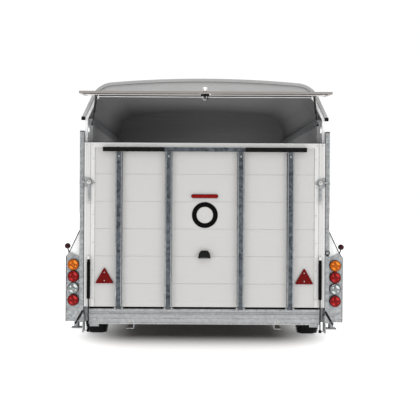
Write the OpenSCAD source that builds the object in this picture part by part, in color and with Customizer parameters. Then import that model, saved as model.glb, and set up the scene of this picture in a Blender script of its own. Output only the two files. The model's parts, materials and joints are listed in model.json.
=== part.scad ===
// Single-axle livestock trailer with a rear ramp and an air flap over it.
// +X is the right-hand side seen from behind, +Y points to the drawbar, +Z is up.
// Heights are from the ground. Lengths are from the rear frame, and place() centres the whole.

/* [Body] */
// Length of the body from the rear frame to the front wall
body_len = 3000; // [2700:50:3600]
// Half width across the outside of the side walls
wall_x = 940; // [925:5:945]
// Thickness of a side wall plank
wall_t = 25; // [18:1:30]
// Height of the floor's top
floor_z = 430; // [430:5:450]
// Thickness of the floor
floor_t = 30; // [18:1:34]
// Height of a wall or ramp plank
plank_h = 220; // [140:10:260]
// Height of the lowest plank of the ramp
low_plank_h = 186; // [120:2:240]
// Height where the plank walls end and the air gap starts
wall_top_z = 1700; // [1500:10:1760]

/* [Roof] */
// Half width of the roof at the eaves
roof_x = 992; // [985:1:1010]
// Height of the eaves
eaves_z = 1955; // [1940:5:1975]
// Height of the roof's crown
crown_z = 2267; // [2250:1:2300]
// Radius of the roof's crown
crown_r = 8500; // [7000:100:10000]
// Radius of the roof's shoulders
shoulder_r = 190; // [140:5:220]
// How far the roof's sides lean in from upright, in degrees
roof_lean = 25; // [18:1:28]
// Thickness of the roof skin
roof_t = 4; // [2:0.5:8]

/* [Chassis] */
// Distance of a chassis rail's middle from the centre line
rail_x = 600; // [500:10:640]
// Width of a chassis rail
rail_w = 60; // [40:2:80]
// Height of the underside of the rails
rail_z = 240; // [225:5:260]
// Half length of the rear sill
sill_x = 930; // [880:2:935]
// Height of the underside of the rear sill
sill_z = 287; // [260:1:300]
// Length of the drawbar ahead of the body
drawbar_len = 1000; // [900:50:1500]

/* [Wheels] */
// Distance of the axle from the rear frame
axle_y = 1380; // [1200:10:1500]
// Radius of a tyre
tyre_r = 298; // [280:1:320]
// Width of a tyre
tyre_w = 185; // [155:5:195]
// Distance of a tyre's middle from the centre line
track_x = 1010; // [1005:1:1014]
// Radius of the rim under the tyre
rim_r = 178; // [160:1:190]
// Radius of the stub axle
stub_r = 15; // [12:1:20]

/* [Ramp] */
// Half width of the ramp
ramp_x = 968; // [940:1:970]
// Height of the ramp's lower edge
ramp_z = 430; // [430:1:434]
// Height of the ramp's upper edge
ramp_top_z = 1750; // [1600:10:1752]
// Width of a galvanised stiffener
stiff_w = 45; // [40:1:60]
// How far a stiffener stands out from the ramp
stiff_d = 34; // [25:1:36]
// Radius of the hinge pin of the ramp
ramp_pin_r = 6; // [5:0.5:7]

/* [Flap] */
// Half width of the flap
flap_x = 970; // [930:1:972]
// Length of the flap from its hinge to its free edge
flap_len = 364; // [320:2:372]
// Thickness of the flap
flap_t = 16; // [12:1:20]
// How far the open flap droops, in degrees
flap_tilt = 3.5; // [0:0.5:8]

/* [Struts] */
// Radius of a ramp strut's barrel
ramp_barrel_r = 13; // [10:1:14]
// Radius of a ramp strut's rod
ramp_rod_r = 5; // [4:1:7]
// Radius of a flap strut's barrel
flap_barrel_r = 9; // [7:1:11]
// Radius of a flap strut's rod
flap_rod_r = 4; // [3:1:5]

/* [Lamps] */
// Diameter of a round lamp
lamp_d = 92; // [80:1:94]
// Distance between round lamps
lamp_pitch = 95; // [95:1:110]
// Side of a reflex triangle
triangle_side = 150; // [150:1:170]

/* [Coupling and jockey wheel] */
// Height of the coupling's middle
coupling_z = 432; // [432:1:440]
// Radius of the sliding draw shaft
draw_r = 25; // [20:1:28]
// Radius of the ball socket
socket_r = 25.3; // [25.1:0.1:25.6]
// Radius of the jockey wheel
jockey_r = 100; // [80:5:110]
// Radius of the jockey wheel's outer tube
jockey_tube_r = 24; // [22:1:30]

/* [Hidden] */
$fn = 48;
run = 0.05;           // radial clearance of a running fit
gap = 0.3;            // clearance between pieces that do not fit together
flap_out = 393;       // rear end of the open flap behind the rear frame
front_y = body_len + drawbar_len + 300;   // front of the coupling
y0 = (flap_out - front_y) / 2;            // where the rear frame lies once the whole is centred
wall_in = wall_x - wall_t;
arch_r = tyre_r + 62;                     // radius of the cut in a mudguard's skirt
box_in = track_x - tyre_w / 2 - 27;       // inner face of a wheel box
box_top = 2 * tyre_r + 100;               // height of a wheel box
box_half = tyre_r + 90;                   // half length of a wheel box
crown_c = crown_z - crown_r;              // height of the crown arc's centre
// a shoulder's circle touches the leaning side and the crown; it is found by sliding along the side
side_way = [-sin(roof_lean), cos(roof_lean)];
side_foot = [roof_x - shoulder_r * cos(roof_lean), eaves_z - shoulder_r * sin(roof_lean) - crown_c];
slide = sqrt(pow(side_foot * side_way, 2) - side_foot * side_foot + pow(crown_r - shoulder_r, 2))
    - side_foot * side_way;
shoulder_x = side_foot[0] + slide * side_way[0];
shoulder_c = side_foot[1] + slide * side_way[1] + crown_c;
meet_a = atan2(shoulder_c - crown_c, shoulder_x);
steps = 8;            // straight pieces in each arc of the roof
post_at = [345, 985, 1625, 2265];         // rear faces of the posts along the side walls
nose_len = 420;       // how far the roof's nose reaches back over the body
nose_z = 1880;        // where the nose's curve becomes upright
guard_len = 2 * axle_y;                   // a mudguard is as long ahead of the axle as behind it
guard_x = 1118;       // outer face of a mudguard
guard_t = 3;          // thickness of a mudguard's sheet
guard_top = 1190;     // where a mudguard's slope meets the side wall
guard_low = 300;      // lower edge of a mudguard's skirt
post_in = 975;        // inner face of a rear post
post_out = 1008;      // outer face of a rear post
hinge_y = -45;        // ramp hinge
hinge_z = ramp_z - 12;
face_y = -45;         // outer face of the ramp planks
rail_in = 84;         // width of a side rail of the ramp
bar_z0 = ramp_top_z - 70;                 // underside of the bar across the ramp
flap_hy = -15;        // flap hinge
flap_hz = 2137;
flap_hinges = [-600, -200, 200, 600];
stiff_at = [-689, -290, 290, 689];
lamp_x = post_out + 2 + lamp_d / 2;
lamp_z = 480;         // height of the lowest round lamp
strut_x = 930;        // a ramp strut's place; it stands upright behind the ramp
strut_y = -66;
strut_low_z = 240;
strut_high_z = 800;
strut_barrel = 280;   // length of a ramp strut's barrel
ramp_stroke = 216;    // how far a ramp strut closes
flap_stroke = 94;     // how far a flap strut closes
flap_strut_low = [920, 75, 1906];
flap_strut_high = [872, -88, 2116];
stand_x = 1034;       // a rear stand's place
stand_y = 40;
draw_y = body_len + drawbar_len;          // rear face of the coupling's nose
leg_a = atan2(rail_x - 115, drawbar_len + 400);
jockey_x = 196;
jockey_y = draw_y - 240;
latch_z = 1432;       // a ramp latch's pivot
latch_x = 930;

// ---------- helpers ----------
module place() { translate([0, y0, 0]) children(); }
module span(a, b) { translate(a) cube(b - a); }
module both() { children(); mirror([1, 0, 0]) children(); }
module along_y(y1, y2) { translate([0, y2, 0]) rotate([90, 0, 0]) linear_extrude(y2 - y1) children(); }
module along_x(x1, x2) { translate([x1, 0, 0]) rotate([90, 0, 90]) linear_extrude(x2 - x1) children(); }
module bar_x(x1, x2, y, z, r) { translate([x1, y, z]) rotate([0, 90, 0]) cylinder(x2 - x1, r, r); }
module bar_y(y1, y2, x, z, r) { translate([x, y2, z]) rotate([90, 0, 0]) cylinder(y2 - y1, r, r); }
module bar_z(z1, z2, x, y, r) { translate([x, y, z1]) cylinder(z2 - z1, r, r); }
function arc(cx, cz, r, a1, a2, n) =
    [for (i = [0:n]) let(a = a1 + (a2 - a1) * i / n) [cx + r * cos(a), cz + r * sin(a)]];
function mirrored(points) = [for (i = [len(points) - 1:-1:0]) [-points[i][0], points[i][1]]];
// half of the roof's section, set in by off and drawn down to low, which lies under the eaves
function half_roof(off, low) = concat(
    [[roof_x - off, low], [roof_x - off, eaves_z - off * tan(roof_lean / 2)]],
    arc(shoulder_x, shoulder_c, shoulder_r - off, roof_lean, meet_a, steps),
    [for (i = [1:steps]) let(a = meet_a + (90 - meet_a) * i / steps)
        [(crown_r - off) * cos(a), crown_c + (crown_r - off) * sin(a)]]);
function roof_line(off, low) = concat(half_roof(off, low),
    [for (p = mirrored(half_roof(off, low))) if (p[0] < -0.01) p]);
function backwards(points) = [for (i = [len(points) - 1:-1:0]) points[i]];
module roof_band(off1, off2, low, y1, y2) {
    along_y(y1, y2) polygon(concat(roof_line(off1, low), backwards(roof_line(off2, low))));
}

// ---------- chassis ----------
module chassis_frame() {
    color("gainsboro") difference() {
        union() {
            both() difference() {
                span([rail_x - rail_w / 2, 40, rail_z],
                    [rail_x + rail_w / 2, body_len - 40, floor_z - floor_t]);
                span([rail_x - rail_w / 2 + 5, 30, rail_z + 5],
                    [rail_x + rail_w, body_len - 30, floor_z - floor_t - 5]);
            }
            for (y = [300, 900, 1900, body_len - 450])
                span([-rail_x + rail_w / 2, y, rail_z + 70],
                    [rail_x - rail_w / 2, y + 50, floor_z - floor_t]);
        }
        bar_x(-rail_x - rail_w, rail_x + rail_w, axle_y, tyre_r, 33);
    }
}
module rear_sill() {
    color("silver") {
        along_x(-sill_x, sill_x) polygon([[-33, sill_z + 4], [-33, sill_z + 44], [-27, sill_z + 50],
            [-27, ramp_z - 48], [-33, ramp_z - 42], [-33, ramp_z - 18], [39, ramp_z - 18],
            [39, floor_z - floor_t - 60], [-10, floor_z - floor_t - 60], [-10, sill_z], [-29, sill_z]]);
        // hinge lugs either side of each stiffener's foot
        for (x = stiff_at, s = [-1, 1]) translate([x + s * 28, 0, 0]) {
            bar_x(-5, 5, hinge_y, hinge_z, 9);
            span([-5, hinge_y, hinge_z - 9], [5, -33, hinge_z - 1]);
        }
        for (x = stiff_at) bar_x(x - 36, x + 36, hinge_y, hinge_z, ramp_pin_r);
        both() span([sill_x - 80, -20, sill_z - 20], [sill_x - 6, -14, sill_z]);
    }
}
module drawbar() {
    color("silver") {
        both() translate([115 - rail_w / 2, body_len + drawbar_len - 80, 0]) rotate([0, 0, leg_a])
            span([-25, -(drawbar_len + 300) / cos(leg_a), 300], [25, 0, 390]);
        span([-118, draw_y - 200, 391], [118, draw_y - 60, 397]);
    }
}
module axle_beam() {
    color("silver") {
        bar_x(-box_in - 5, box_in + 5, axle_y, tyre_r, 32);
        both() bar_x(box_in, track_x - 24, axle_y, tyre_r, stub_r);
    }
}

// ---------- body ----------
module floor_boards() {
    color("tan") difference() {
        span([-wall_x, 41, floor_z - floor_t], [wall_x, body_len - wall_t, floor_z]);
        both() span([box_in - gap, axle_y - box_half, 0], [wall_x + 1, axle_y + box_half, floor_z + 1]);
    }
}
module plank_wall(length, top) {
    // planks stand on edge in the XZ plane, with a groove at every joint
    count = ceil((top - floor_z) / plank_h);
    difference() {
        span([0, 0, floor_z], [length, wall_t, top]);
        for (i = [1:count - 1], y = [-1, wall_t - 3])
            span([-1, y, floor_z + i * plank_h - 3], [length + 1, y + 4, floor_z + i * plank_h + 3]);
    }
}
module side_walls() {
    color("white") both() difference() {
        translate([wall_x, 45, 0]) rotate([0, 0, 90]) plank_wall(body_len - wall_t - 45, wall_top_z);
        span([wall_in - 1, axle_y - box_half, 0], [wall_x + 1, axle_y + box_half, box_top]);
    }
}
module upper_sides() {
    color("dimgray") both() difference() {
        span([wall_in, 45, wall_top_z], [wall_x, body_len - wall_t, eaves_z - 60]);
        span([wall_in - 1, 0, wall_top_z + 70], [wall_in + 3, body_len, wall_top_z + 76]);
    }
}
module front_wall() {
    color("white") translate([-wall_x, body_len - wall_t, 0]) plank_wall(2 * wall_x, wall_top_z);
}
module body_posts() {
    color("gainsboro") both() {
        span([post_in, -30, 300], [post_out, 60, 1840]);
        span([wall_x, 45, 300], [post_in, 60, 1840]);
        span([wall_x, body_len - 50, floor_z], [wall_x + 30, body_len, eaves_z - 60]);
        for (y = post_at)
            span([wall_x, y, guard_top + 2], [wall_x + 24, y + 50, eaves_z - 60]);
        span([wall_in, 110, eaves_z - 60], [roof_x - 10, body_len - wall_t, eaves_z]);
    }
}
module roof_skin() {
    color("dimgray") roof_band(0, roof_t, eaves_z - 8, 16, body_len - nose_len);
}
module nose_solid(t) {
    // the roof's section, cut off by a quarter of an ellipse that falls to the front wall
    intersection() {
        along_y(body_len - nose_len + gap, body_len + 20 - t) polygon(roof_line(t, wall_top_z + gap - t));
        along_x(-roof_x, roof_x) polygon(concat([[body_len - nose_len, 0]],
            [for (a = [0:9:90]) [body_len - nose_len + (nose_len + 20 - t) * sin(a),
                nose_z + (crown_z - nose_z - t) * cos(a)]],
            [[body_len + 20 - t, 0]]));
    }
}
module roof_nose() {
    color("dimgray") difference() {
        nose_solid(0);
        nose_solid(roof_t);
        span([-roof_x, body_len - nose_len - 1, 0],
            [roof_x, body_len - nose_len + gap + 1, crown_z - roof_t - 6]);
    }
}
module roof_trim() {
    color("dimgray") roof_band(-6, 18, eaves_z - 16, -6, 15);
}
module rear_arch() {
    color("white") roof_band(20, 40, floor_z, 14, 44);
}
module rear_header() {
    color("silver") along_y(8, 14) intersection() {
        polygon(roof_line(19, eaves_z - 20));
        translate([-roof_x, flap_hz + 2]) square([2 * roof_x, 400]);
    }
}
module wheel_boxes() {
    color("white") both() difference() {
        span([box_in, axle_y - box_half + 1, floor_z - floor_t], [wall_x, axle_y + box_half - 1, box_top]);
        span([box_in + 3, axle_y - box_half + 4, 0], [wall_x + 1, axle_y + box_half - 4, box_top - 3]);
    }
}
module guard_outline(t) {
    polygon([[wall_x + gap, guard_top - 2.4 * t], [guard_x - 26 - 0.9 * t, 866 - t / 2],
        [guard_x - t, 828 - t / 2], [guard_x - t, guard_low], [wall_x + gap, guard_low]]);
}
module mudguards() {
    color("white") both() difference() {
        along_y(0, guard_len) guard_outline(0);
        along_y(guard_t, guard_len - guard_t) translate([-0.01, -1]) guard_outline(guard_t);
        span([0, -1, 0], [guard_x - guard_t, guard_len + 1, 340]);
        span([0, -1, 0], [post_out + gap, 61, 1900]);
        bar_x(guard_x - 10, guard_x + 10, axle_y, tyre_r, arch_r);
        span([guard_x - 10, axle_y - arch_r, 0], [guard_x + 1, axle_y + arch_r, tyre_r]);
        bar_y(-1, 10, stand_x, 300, 8);
    }
}

// ---------- lamps ----------
module lamp_boards() {
    color("silver") both() {
        difference() {
            along_y(-14, -11) polygon([[post_out + 2, 306], [guard_x - 4, 306], [guard_x - 4, 832],
                [guard_x - 28, 866], [post_out + 2, 829]]);
            for (z = [330, 400]) bar_y(-15, -10, guard_x - 18, z, 4);
        }
        span([guard_x - 7, -11, 306], [guard_x - 4, -0.5, 832]);
    }
}
module lamp_bases() {
    color("black") both() for (i = [0:3])
        bar_y(-36, -14, lamp_x, lamp_z + i * lamp_pitch, lamp_d / 2);
}
module lens(i) {
    translate([lamp_x, -36, lamp_z + i * lamp_pitch]) rotate([90, 0, 0]) rotate_extrude()
        polygon([[0, 0], [lamp_d / 2 - 2, 0], [lamp_d / 2 - 3, 8], [lamp_d / 2 - 9, 13], [0, 15]]);
}
module amber_lenses() { color("orange") both() lens(3); }
module red_lenses() { color("darkred") both() for (i = [0, 2]) lens(i); }
module clear_lenses() { color("white") both() lens(1); }
module marker_stalks() {
    color("black") both() {
        translate([1100, 10, 872]) cylinder(21, 10, 12);
        span([1086, -8, 892], [1130, 24, 934]);
    }
}
module marker_lenses() { color("darkred") both() span([1090, -16, 897], [1126, -8, 929]); }
module stop_lamp() {
    color("red") along_y(face_y - 16, face_y) {
        translate([-93, 1308]) square([186, 27]);
        for (s = [-1, 1]) translate([s * 93, 1321.5]) circle(13.5);
    }
}
module plate_lamp() {
    color("black") along_y(face_y - 30, face_y)
        polygon([[-50, 823], [50, 823], [44, 860], [26, 884], [-26, 884], [-44, 860]]);
}
module reflex_triangles() {
    h = triangle_side * sqrt(3) / 2;
    color("darkred") both() along_y(face_y - 12, face_y) intersection() {
        translate([803, 618]) polygon([[-triangle_side / 2, 0], [triangle_side / 2, 0], [0, h]]);
        translate([803, 618 + h / 3]) circle(triangle_side * 0.53);
    }
}

// ---------- ramp ----------
module ramp_planks() {
    color("white") difference() {
        span([-ramp_x + rail_in, face_y, ramp_z], [ramp_x - rail_in, face_y + 28, ramp_top_z - 38]);
        for (z = [ramp_z + low_plank_h:plank_h:ramp_top_z - 60])
            span([-ramp_x, face_y - 1, z - 3], [ramp_x, face_y + 3, z + 3]);
    }
}
module ramp_frame() {
    color("silver") {
        both() difference() {
            span([ramp_x - rail_in, face_y - 3, ramp_z], [ramp_x, face_y + 38, ramp_top_z]);
            for (x = [20, 34, 48])
                span([ramp_x - x, face_y - 4, ramp_z - 1], [ramp_x - x + 3, face_y - 1, ramp_top_z + 1]);
        }
        span([-ramp_x + rail_in, face_y - 3, ramp_top_z - 38],
            [ramp_x - rail_in, face_y + 38, ramp_top_z]);
        // upper bracket of a ramp strut, just over its eye
        both() span([strut_x - 9, strut_y - 10, strut_high_z + 12 + gap],
            [strut_x + 9, face_y - 3, strut_high_z + 38]);
    }
}
module ramp_stiffeners() {
    color("slategray") for (x = stiff_at) translate([x, 0, 0]) {
        difference() {
            span([-stiff_w / 2, face_y - stiff_d, ramp_z + 4], [stiff_w / 2, face_y, bar_z0 - 8]);
            span([-stiff_w / 2 + 4, face_y - stiff_d + 4, ramp_z + 8],
                [stiff_w / 2 - 4, face_y + 1, bar_z0 - 12]);
        }
        difference() {
            union() {
                bar_x(-20, 20, hinge_y, hinge_z, 10);
                span([-20, hinge_y - 10, hinge_z], [20, hinge_y - 0.01, ramp_z + 4]);
            }
            bar_x(-21, 21, hinge_y, hinge_z, ramp_pin_r + run);
        }
    }
}
module ramp_cross_bar() {
    color("silver") difference() {
        union() {
            span([-324, face_y - 38, bar_z0], [324, face_y - 3, bar_z0 + 32]);
            both() span([324, face_y - 14, bar_z0 + 4], [816, face_y - 3, bar_z0 + 28]);
        }
        bar_y(face_y - 50, face_y + 1, 0, bar_z0 + 16, 12.5);
    }
}
module ramp_buffers() {
    color("black") both() difference() {
        span([325, face_y - 42, bar_z0 - 1], [817, face_y - 3, bar_z0 + 33]);
        span([324, face_y - 14, bar_z0 + 4], [816, face_y + 1, bar_z0 + 28]);
    }
}
module ramp_cleats() {
    color("gray") for (z = [ramp_z + plank_h / 2:plank_h:ramp_top_z - 200])
        span([-ramp_x + 120, face_y + 28, z], [ramp_x - 120, -2, z + 25]);
}
module latch_plates() {
    color("silver") both() along_y(face_y - 9, face_y - 3)
        polygon([[ramp_x - 2, latch_z - 42], [ramp_x - 2, latch_z + 42], [ramp_x - 50, latch_z + 34],
            [ramp_x - 84, latch_z - 4], [ramp_x - 50, latch_z - 34]]);
}
module latch_lever() {
    color("silver") {
        bar_y(face_y - 22, face_y - 9 - gap, latch_x, latch_z, 12);
        span([latch_x, face_y - 17, latch_z - 8], [post_in + 21, face_y - 10, latch_z + 8]);
        span([latch_x - 9, face_y - 22, latch_z - 150], [latch_x + 9, face_y - 17, latch_z]);
    }
}
module latch_lever_right() { latch_lever(); }
module latch_lever_left() { mirror([1, 0, 0]) latch_lever(); }

// ---------- flap ----------
module flap_pose() { translate([0, flap_hy, flap_hz]) rotate([flap_tilt, 0, 0]) children(); }
module flap_panel() {
    color("white") flap_pose() {
        difference() {
            span([-flap_x, -flap_len - 14, -flap_t / 2], [flap_x, -14, flap_t / 2]);
            for (y = [-250, -150])
                span([-flap_x + 30, y, -flap_t / 2 - 1], [flap_x - 30, y + 6, -flap_t / 2 + 3]);
            bar_z(-20, 20, -6, -flap_len + 6, 8 + run);
        }
        for (x = flap_hinges) difference() {
            union() {
                bar_x(x - 30, x + 30, 0, 0, 7);
                span([x - 30, -14, -3], [x + 30, -5, 3]);
            }
            bar_x(x - 31, x + 31, 0, 0, 4 + run);
        }
        both() span([flap_strut_high[0] - 22, -95, -flap_t / 2 - 28],
            [flap_strut_high[0] - 17, -65, -flap_t / 2]);
    }
}
module flap_latch() {
    color("black") flap_pose() translate([-6, -flap_len + 6, 0]) {
        bar_z(-36, 20, 0, 0, 8);
        span([-14, -14, flap_t / 2 + 1], [14, 14, 30]);
        span([-32, -10, -26], [32, 10, -flap_t / 2 - 1]);
        bar_z(-52, -26, 22, 0, 4);
    }
}

// ---------- struts ----------
module ramp_strut_rods() {
    color("black") both() {
        difference() {
            union() {
                bar_x(strut_x - 10, strut_x + 10, strut_y, strut_low_z, 12);
                bar_z(strut_low_z + 11, strut_high_z - 30 - ramp_stroke, strut_x, strut_y, ramp_rod_r);
            }
            bar_x(strut_x - 11, strut_x + 11, strut_y, strut_low_z, 5 + run);
        }
    }
}
module ramp_strut_barrels() {
    color("black") both() difference() {
        union() {
            bar_z(strut_high_z - 25 - strut_barrel, strut_high_z - 10, strut_x, strut_y, ramp_barrel_r);
            bar_x(strut_x - 10, strut_x + 10, strut_y, strut_high_z, 12);
        }
        bar_z(strut_high_z - 30 - strut_barrel, strut_high_z - 25, strut_x, strut_y, ramp_rod_r + run);
    }
}
module on_flap_strut(side) {
    low = [side * flap_strut_low[0], flap_strut_low[1], flap_strut_low[2]];
    d = [side * flap_strut_high[0], flap_strut_high[1], flap_strut_high[2]] - low;
    turn = atan2(d[1], d[0]);
    translate(low) rotate([0, acos(d[2] / norm(d)), turn]) rotate([0, 0, -turn]) children();
}
flap_strut_len = norm(flap_strut_high - flap_strut_low);
module flap_rod(side) {
    color("black") on_flap_strut(side) {
        cylinder(flap_strut_len - 20 - flap_stroke, flap_rod_r, flap_rod_r);
        sphere(8);
    }
}
module flap_barrel(side) {
    color("black") on_flap_strut(side) difference() {
        union() {
            translate([0, 0, 118]) cylinder(flap_strut_len - 126, flap_barrel_r, flap_barrel_r);
            translate([0, 0, flap_strut_len - 10]) sphere(9);
        }
        translate([0, 0, 100]) cylinder(flap_strut_len - 116, flap_rod_r + run, flap_rod_r + run);
    }
}
module flap_rod_left() { flap_rod(-1); }
module flap_rod_right() { flap_rod(1); }
module flap_barrel_left() { flap_barrel(-1); }
module flap_barrel_right() { flap_barrel(1); }
module rear_brackets() {
    color("silver") both() {
        // lower bracket and pin of a ramp strut
        span([post_in - 7, strut_y - 14, 225], [post_in, 44, 300]);
        span([post_in - 7, -20, 300], [post_in - 0.01, 44, 360]);
        bar_x(strut_x - 12, post_in - 7, strut_y, strut_low_z, 5);
        // keeper of a ramp latch, with a lip under the tongue
        span([post_in, face_y - 9, latch_z - 15], [post_out - 2, -30, latch_z + 15]);
        span([post_in, face_y - 16, latch_z - 15], [post_out - 2, -30, latch_z - 9]);
        // lower bracket of a flap strut
        span([flap_strut_low[0] + 9, 48, eaves_z - 60],
            [flap_strut_low[0] + 12, 96, flap_strut_low[2] + 26]);
    }
    color("silver") both() stand_clamp();
    // hinge pin and lugs of the flap
    color("silver") for (x = flap_hinges) {
        bar_x(x - 44, x + 44, flap_hy, flap_hz, 4);
        for (s = [-1, 1]) span([x + s * 38 - 6, flap_hy - 5, flap_hz - 5], [x + s * 38 + 6, 8, flap_hz + 5]);
    }
}

// ---------- wheels ----------
module wheel_at() { translate([track_x, axle_y, tyre_r]) rotate([0, 90, 0]) children(); }
module tyre() {
    h = tyre_w / 2;
    color("black") wheel_at() difference() {
        rotate_extrude($fn = 96) polygon([[rim_r + gap, -h + 12], [rim_r + 30, -h], [rim_r + 70, -h],
            [tyre_r - 16, -h + 10], [tyre_r - 4, -h + 22], [tyre_r, -h + 46], [tyre_r, h - 46],
            [tyre_r - 4, h - 22], [tyre_r - 16, h - 10], [rim_r + 70, h], [rim_r + 30, h],
            [rim_r + gap, h - 12]]);
        for (z = [-h + 50, -h + 76, h - 76, h - 50]) translate([0, 0, z - 3]) difference() {
            cylinder(6, tyre_r + 1, tyre_r + 1);
            translate([0, 0, -1]) cylinder(8, tyre_r - 7, tyre_r - 7);
        }
    }
}
module rim() {
    color("silver") wheel_at() difference() {
        union() {
            rotate_extrude($fn = 96) polygon([[rim_r - 8, -75], [rim_r, -75], [rim_r, 75], [rim_r - 8, 75],
                [rim_r - 8, -16], [60, -16], [60, 6], [34, 6], [34, 22], [0, 22], [0, -24], [60, -24],
                [60, -80], [120, -80], [120, -24], [rim_r - 8, -24]]);
            for (a = [0:72:359]) rotate([0, 0, a + 18]) translate([49, 0, 5]) cylinder(14, 9, 9, $fn = 6);
        }
        translate([0, 0, -25]) cylinder(12, stub_r + run, stub_r + run);
        for (a = [0:30:359]) rotate([0, 0, a]) translate([130, 0, -30]) cylinder(20, 13, 13);
    }
}
module tyre_right() { tyre(); }
module tyre_left() { mirror([1, 0, 0]) tyre(); }
module rim_right() { rim(); }
module rim_left() { mirror([1, 0, 0]) rim(); }

// ---------- rear stands ----------
module stand_clamp() {
    difference() {
        union() {
            bar_z(300, 334, stand_x, stand_y, stand_x - post_out);
            span([post_out, stand_y - 20, 302], [stand_x, stand_y + 20, 332]);
            span([stand_x - 12, 4, 312], [stand_x + 12, stand_y - 20, 332]);
        }
        bar_z(299, 335, stand_x, stand_y, 22 + run);
    }
}
module stand_leg() {
    color("silver") {
        bar_z(254, 700, stand_x, stand_y, 22);
        span([stand_x - 41, stand_y - 41, 246], [stand_x + 41, stand_y + 41, 254]);
    }
}
module stand_handle() {
    color("black") translate([stand_x, 0, 297]) {
        bar_y(-44, 8, 0, 0, 5);
        rotate([0, -30, 0]) bar_z(0, 110, 0, -39, 5);
        bar_y(-46, -32, 0, 0, 9);
    }
}
module stand_leg_right() { stand_leg(); }
module stand_leg_left() { mirror([1, 0, 0]) stand_leg(); }
module stand_handle_right() { stand_handle(); }
module stand_handle_left() { mirror([1, 0, 0]) stand_handle(); }

// ---------- jockey wheel ----------
module jockey_clamp() {
    color("silver") difference() {
        union() {
            bar_z(391, 430, jockey_x, jockey_y, jockey_tube_r + 14);
            span([118, jockey_y - 20, 391], [jockey_x, jockey_y + 20, 420]);
            bar_z(300, 760, jockey_x, jockey_y, jockey_tube_r);
        }
        bar_z(299, 759, jockey_x, jockey_y, jockey_tube_r - 4 + run);
        bar_z(750, 761, jockey_x, jockey_y, 8 + run);
    }
}
module jockey_leg() {
    color("silver") difference() {
        union() {
            bar_z(jockey_r + 116, 520, jockey_x, jockey_y, jockey_tube_r - 4);
            for (s = [-1, 1]) span([jockey_x + s * 38 - 3, jockey_y - 20, jockey_r - 18],
                [jockey_x + s * 38 + 3, jockey_y + 20, jockey_r + 116]);
            span([jockey_x - 41, jockey_y - 20, jockey_r + 108],
                [jockey_x + 41, jockey_y + 20, jockey_r + 116]);
            bar_x(jockey_x - 44, jockey_x + 44, jockey_y, jockey_r, 8);
        }
        bar_z(300, 530, jockey_x, jockey_y, 9);
    }
}
module jockey_wheel() {
    color("dimgray") translate([jockey_x, jockey_y, jockey_r]) rotate([0, 90, 0]) rotate_extrude($fn = 96)
        polygon([[8 + run, -32], [30, -32], [34, -12], [60, -12], [64, -28], [jockey_r - 10, -28],
            [jockey_r, -16], [jockey_r, 16], [jockey_r - 10, 28], [64, 28], [60, 12], [34, 12],
            [30, 32], [8 + run, 32]]);
}
module jockey_crank() {
    color("silver") {
        bar_z(480, 800, jockey_x, jockey_y, 8);
        translate([jockey_x, jockey_y, 792]) rotate([0, 0, 90]) {
            span([-10, -8, 0], [130, 8, 10]);
            translate([122, 0, 8]) cylinder(90, 12, 12);
        }
    }
}

// ---------- coupling ----------
module coupling_housing() {
    color("silver") difference() {
        union() {
            span([-44, draw_y - 200, 397], [44, draw_y + 60, 474]);
            span([44, draw_y - 150, 398], [60, draw_y - 100, 470]);
        }
        bar_y(draw_y - 190, draw_y + 61, 0, coupling_z, draw_r + run);
        bar_x(50, 61, draw_y - 125, 440, 8 + run);
    }
}
module coupling_head() {
    color("silver") translate([0, draw_y, 0]) difference() {
        union() {
            bar_y(-80, 190, 0, coupling_z, draw_r);
            span([-34, 165, 400], [34, 250, 462]);
            bar_z(400, 462, 0, 256, 44);
        }
        bar_z(399, 440, 0, 256, socket_r);
        span([-9, 180, 450], [9, 251, 470]);
    }
}
module coupling_handle() {
    color("black") translate([0, draw_y, 0]) {
        span([-8, 188, 456], [8, 242, 480]);
        span([-12, 90, 480], [12, 242, 492]);
    }
}
module handbrake_lever() {
    color("black") {
        bar_x(51, 74, draw_y - 125, 440, 8);
        span([64, draw_y - 137, 432], [74, draw_y - 113, 470]);
        translate([69, draw_y - 125, 440]) rotate([-20, 0, 0]) {
            cylinder(330, 8, 8);
            translate([0, 0, 210]) cylinder(122, 13, 13);
        }
    }
}

place() chassis_frame();
place() rear_sill();
place() drawbar();
place() floor_boards();
place() side_walls();
place() front_wall();
place() upper_sides();
place() body_posts();
place() roof_skin();
place() roof_nose();
place() roof_trim();
place() rear_arch();
place() rear_header();
place() wheel_boxes();
place() mudguards();
place() lamp_boards();
place() lamp_bases();
place() amber_lenses();
place() red_lenses();
place() clear_lenses();
place() marker_stalks();
place() marker_lenses();
place() rear_brackets();
place() coupling_housing();
place() jockey_clamp();
place() axle_beam();
place() ramp_planks();
place() ramp_frame();
place() ramp_stiffeners();
place() ramp_cross_bar();
place() ramp_buffers();
place() ramp_cleats();
place() stop_lamp();
place() plate_lamp();
place() reflex_triangles();
place() latch_plates();
place() latch_lever_left();
place() latch_lever_right();
place() flap_panel();
place() flap_latch();
place() ramp_strut_rods();
place() ramp_strut_barrels();
place() flap_rod_left();
place() flap_rod_right();
place() flap_barrel_left();
place() flap_barrel_right();
place() tyre_left();
place() tyre_right();
place() rim_left();
place() rim_right();
place() stand_leg_left();
place() stand_leg_right();
place() stand_handle_left();
place() stand_handle_right();
place() jockey_leg();
place() jockey_wheel();
place() jockey_crank();
place() coupling_head();
place() coupling_handle();
place() handbrake_lever();
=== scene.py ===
"""Looks of a single-axle livestock trailer with a rear ramp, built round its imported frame."""

import json
import logging
import math
from dataclasses import dataclass, field
from enum import Enum
from typing import Iterable, Sequence

import bmesh
import bpy
from mathutils import Matrix, Vector


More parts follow.
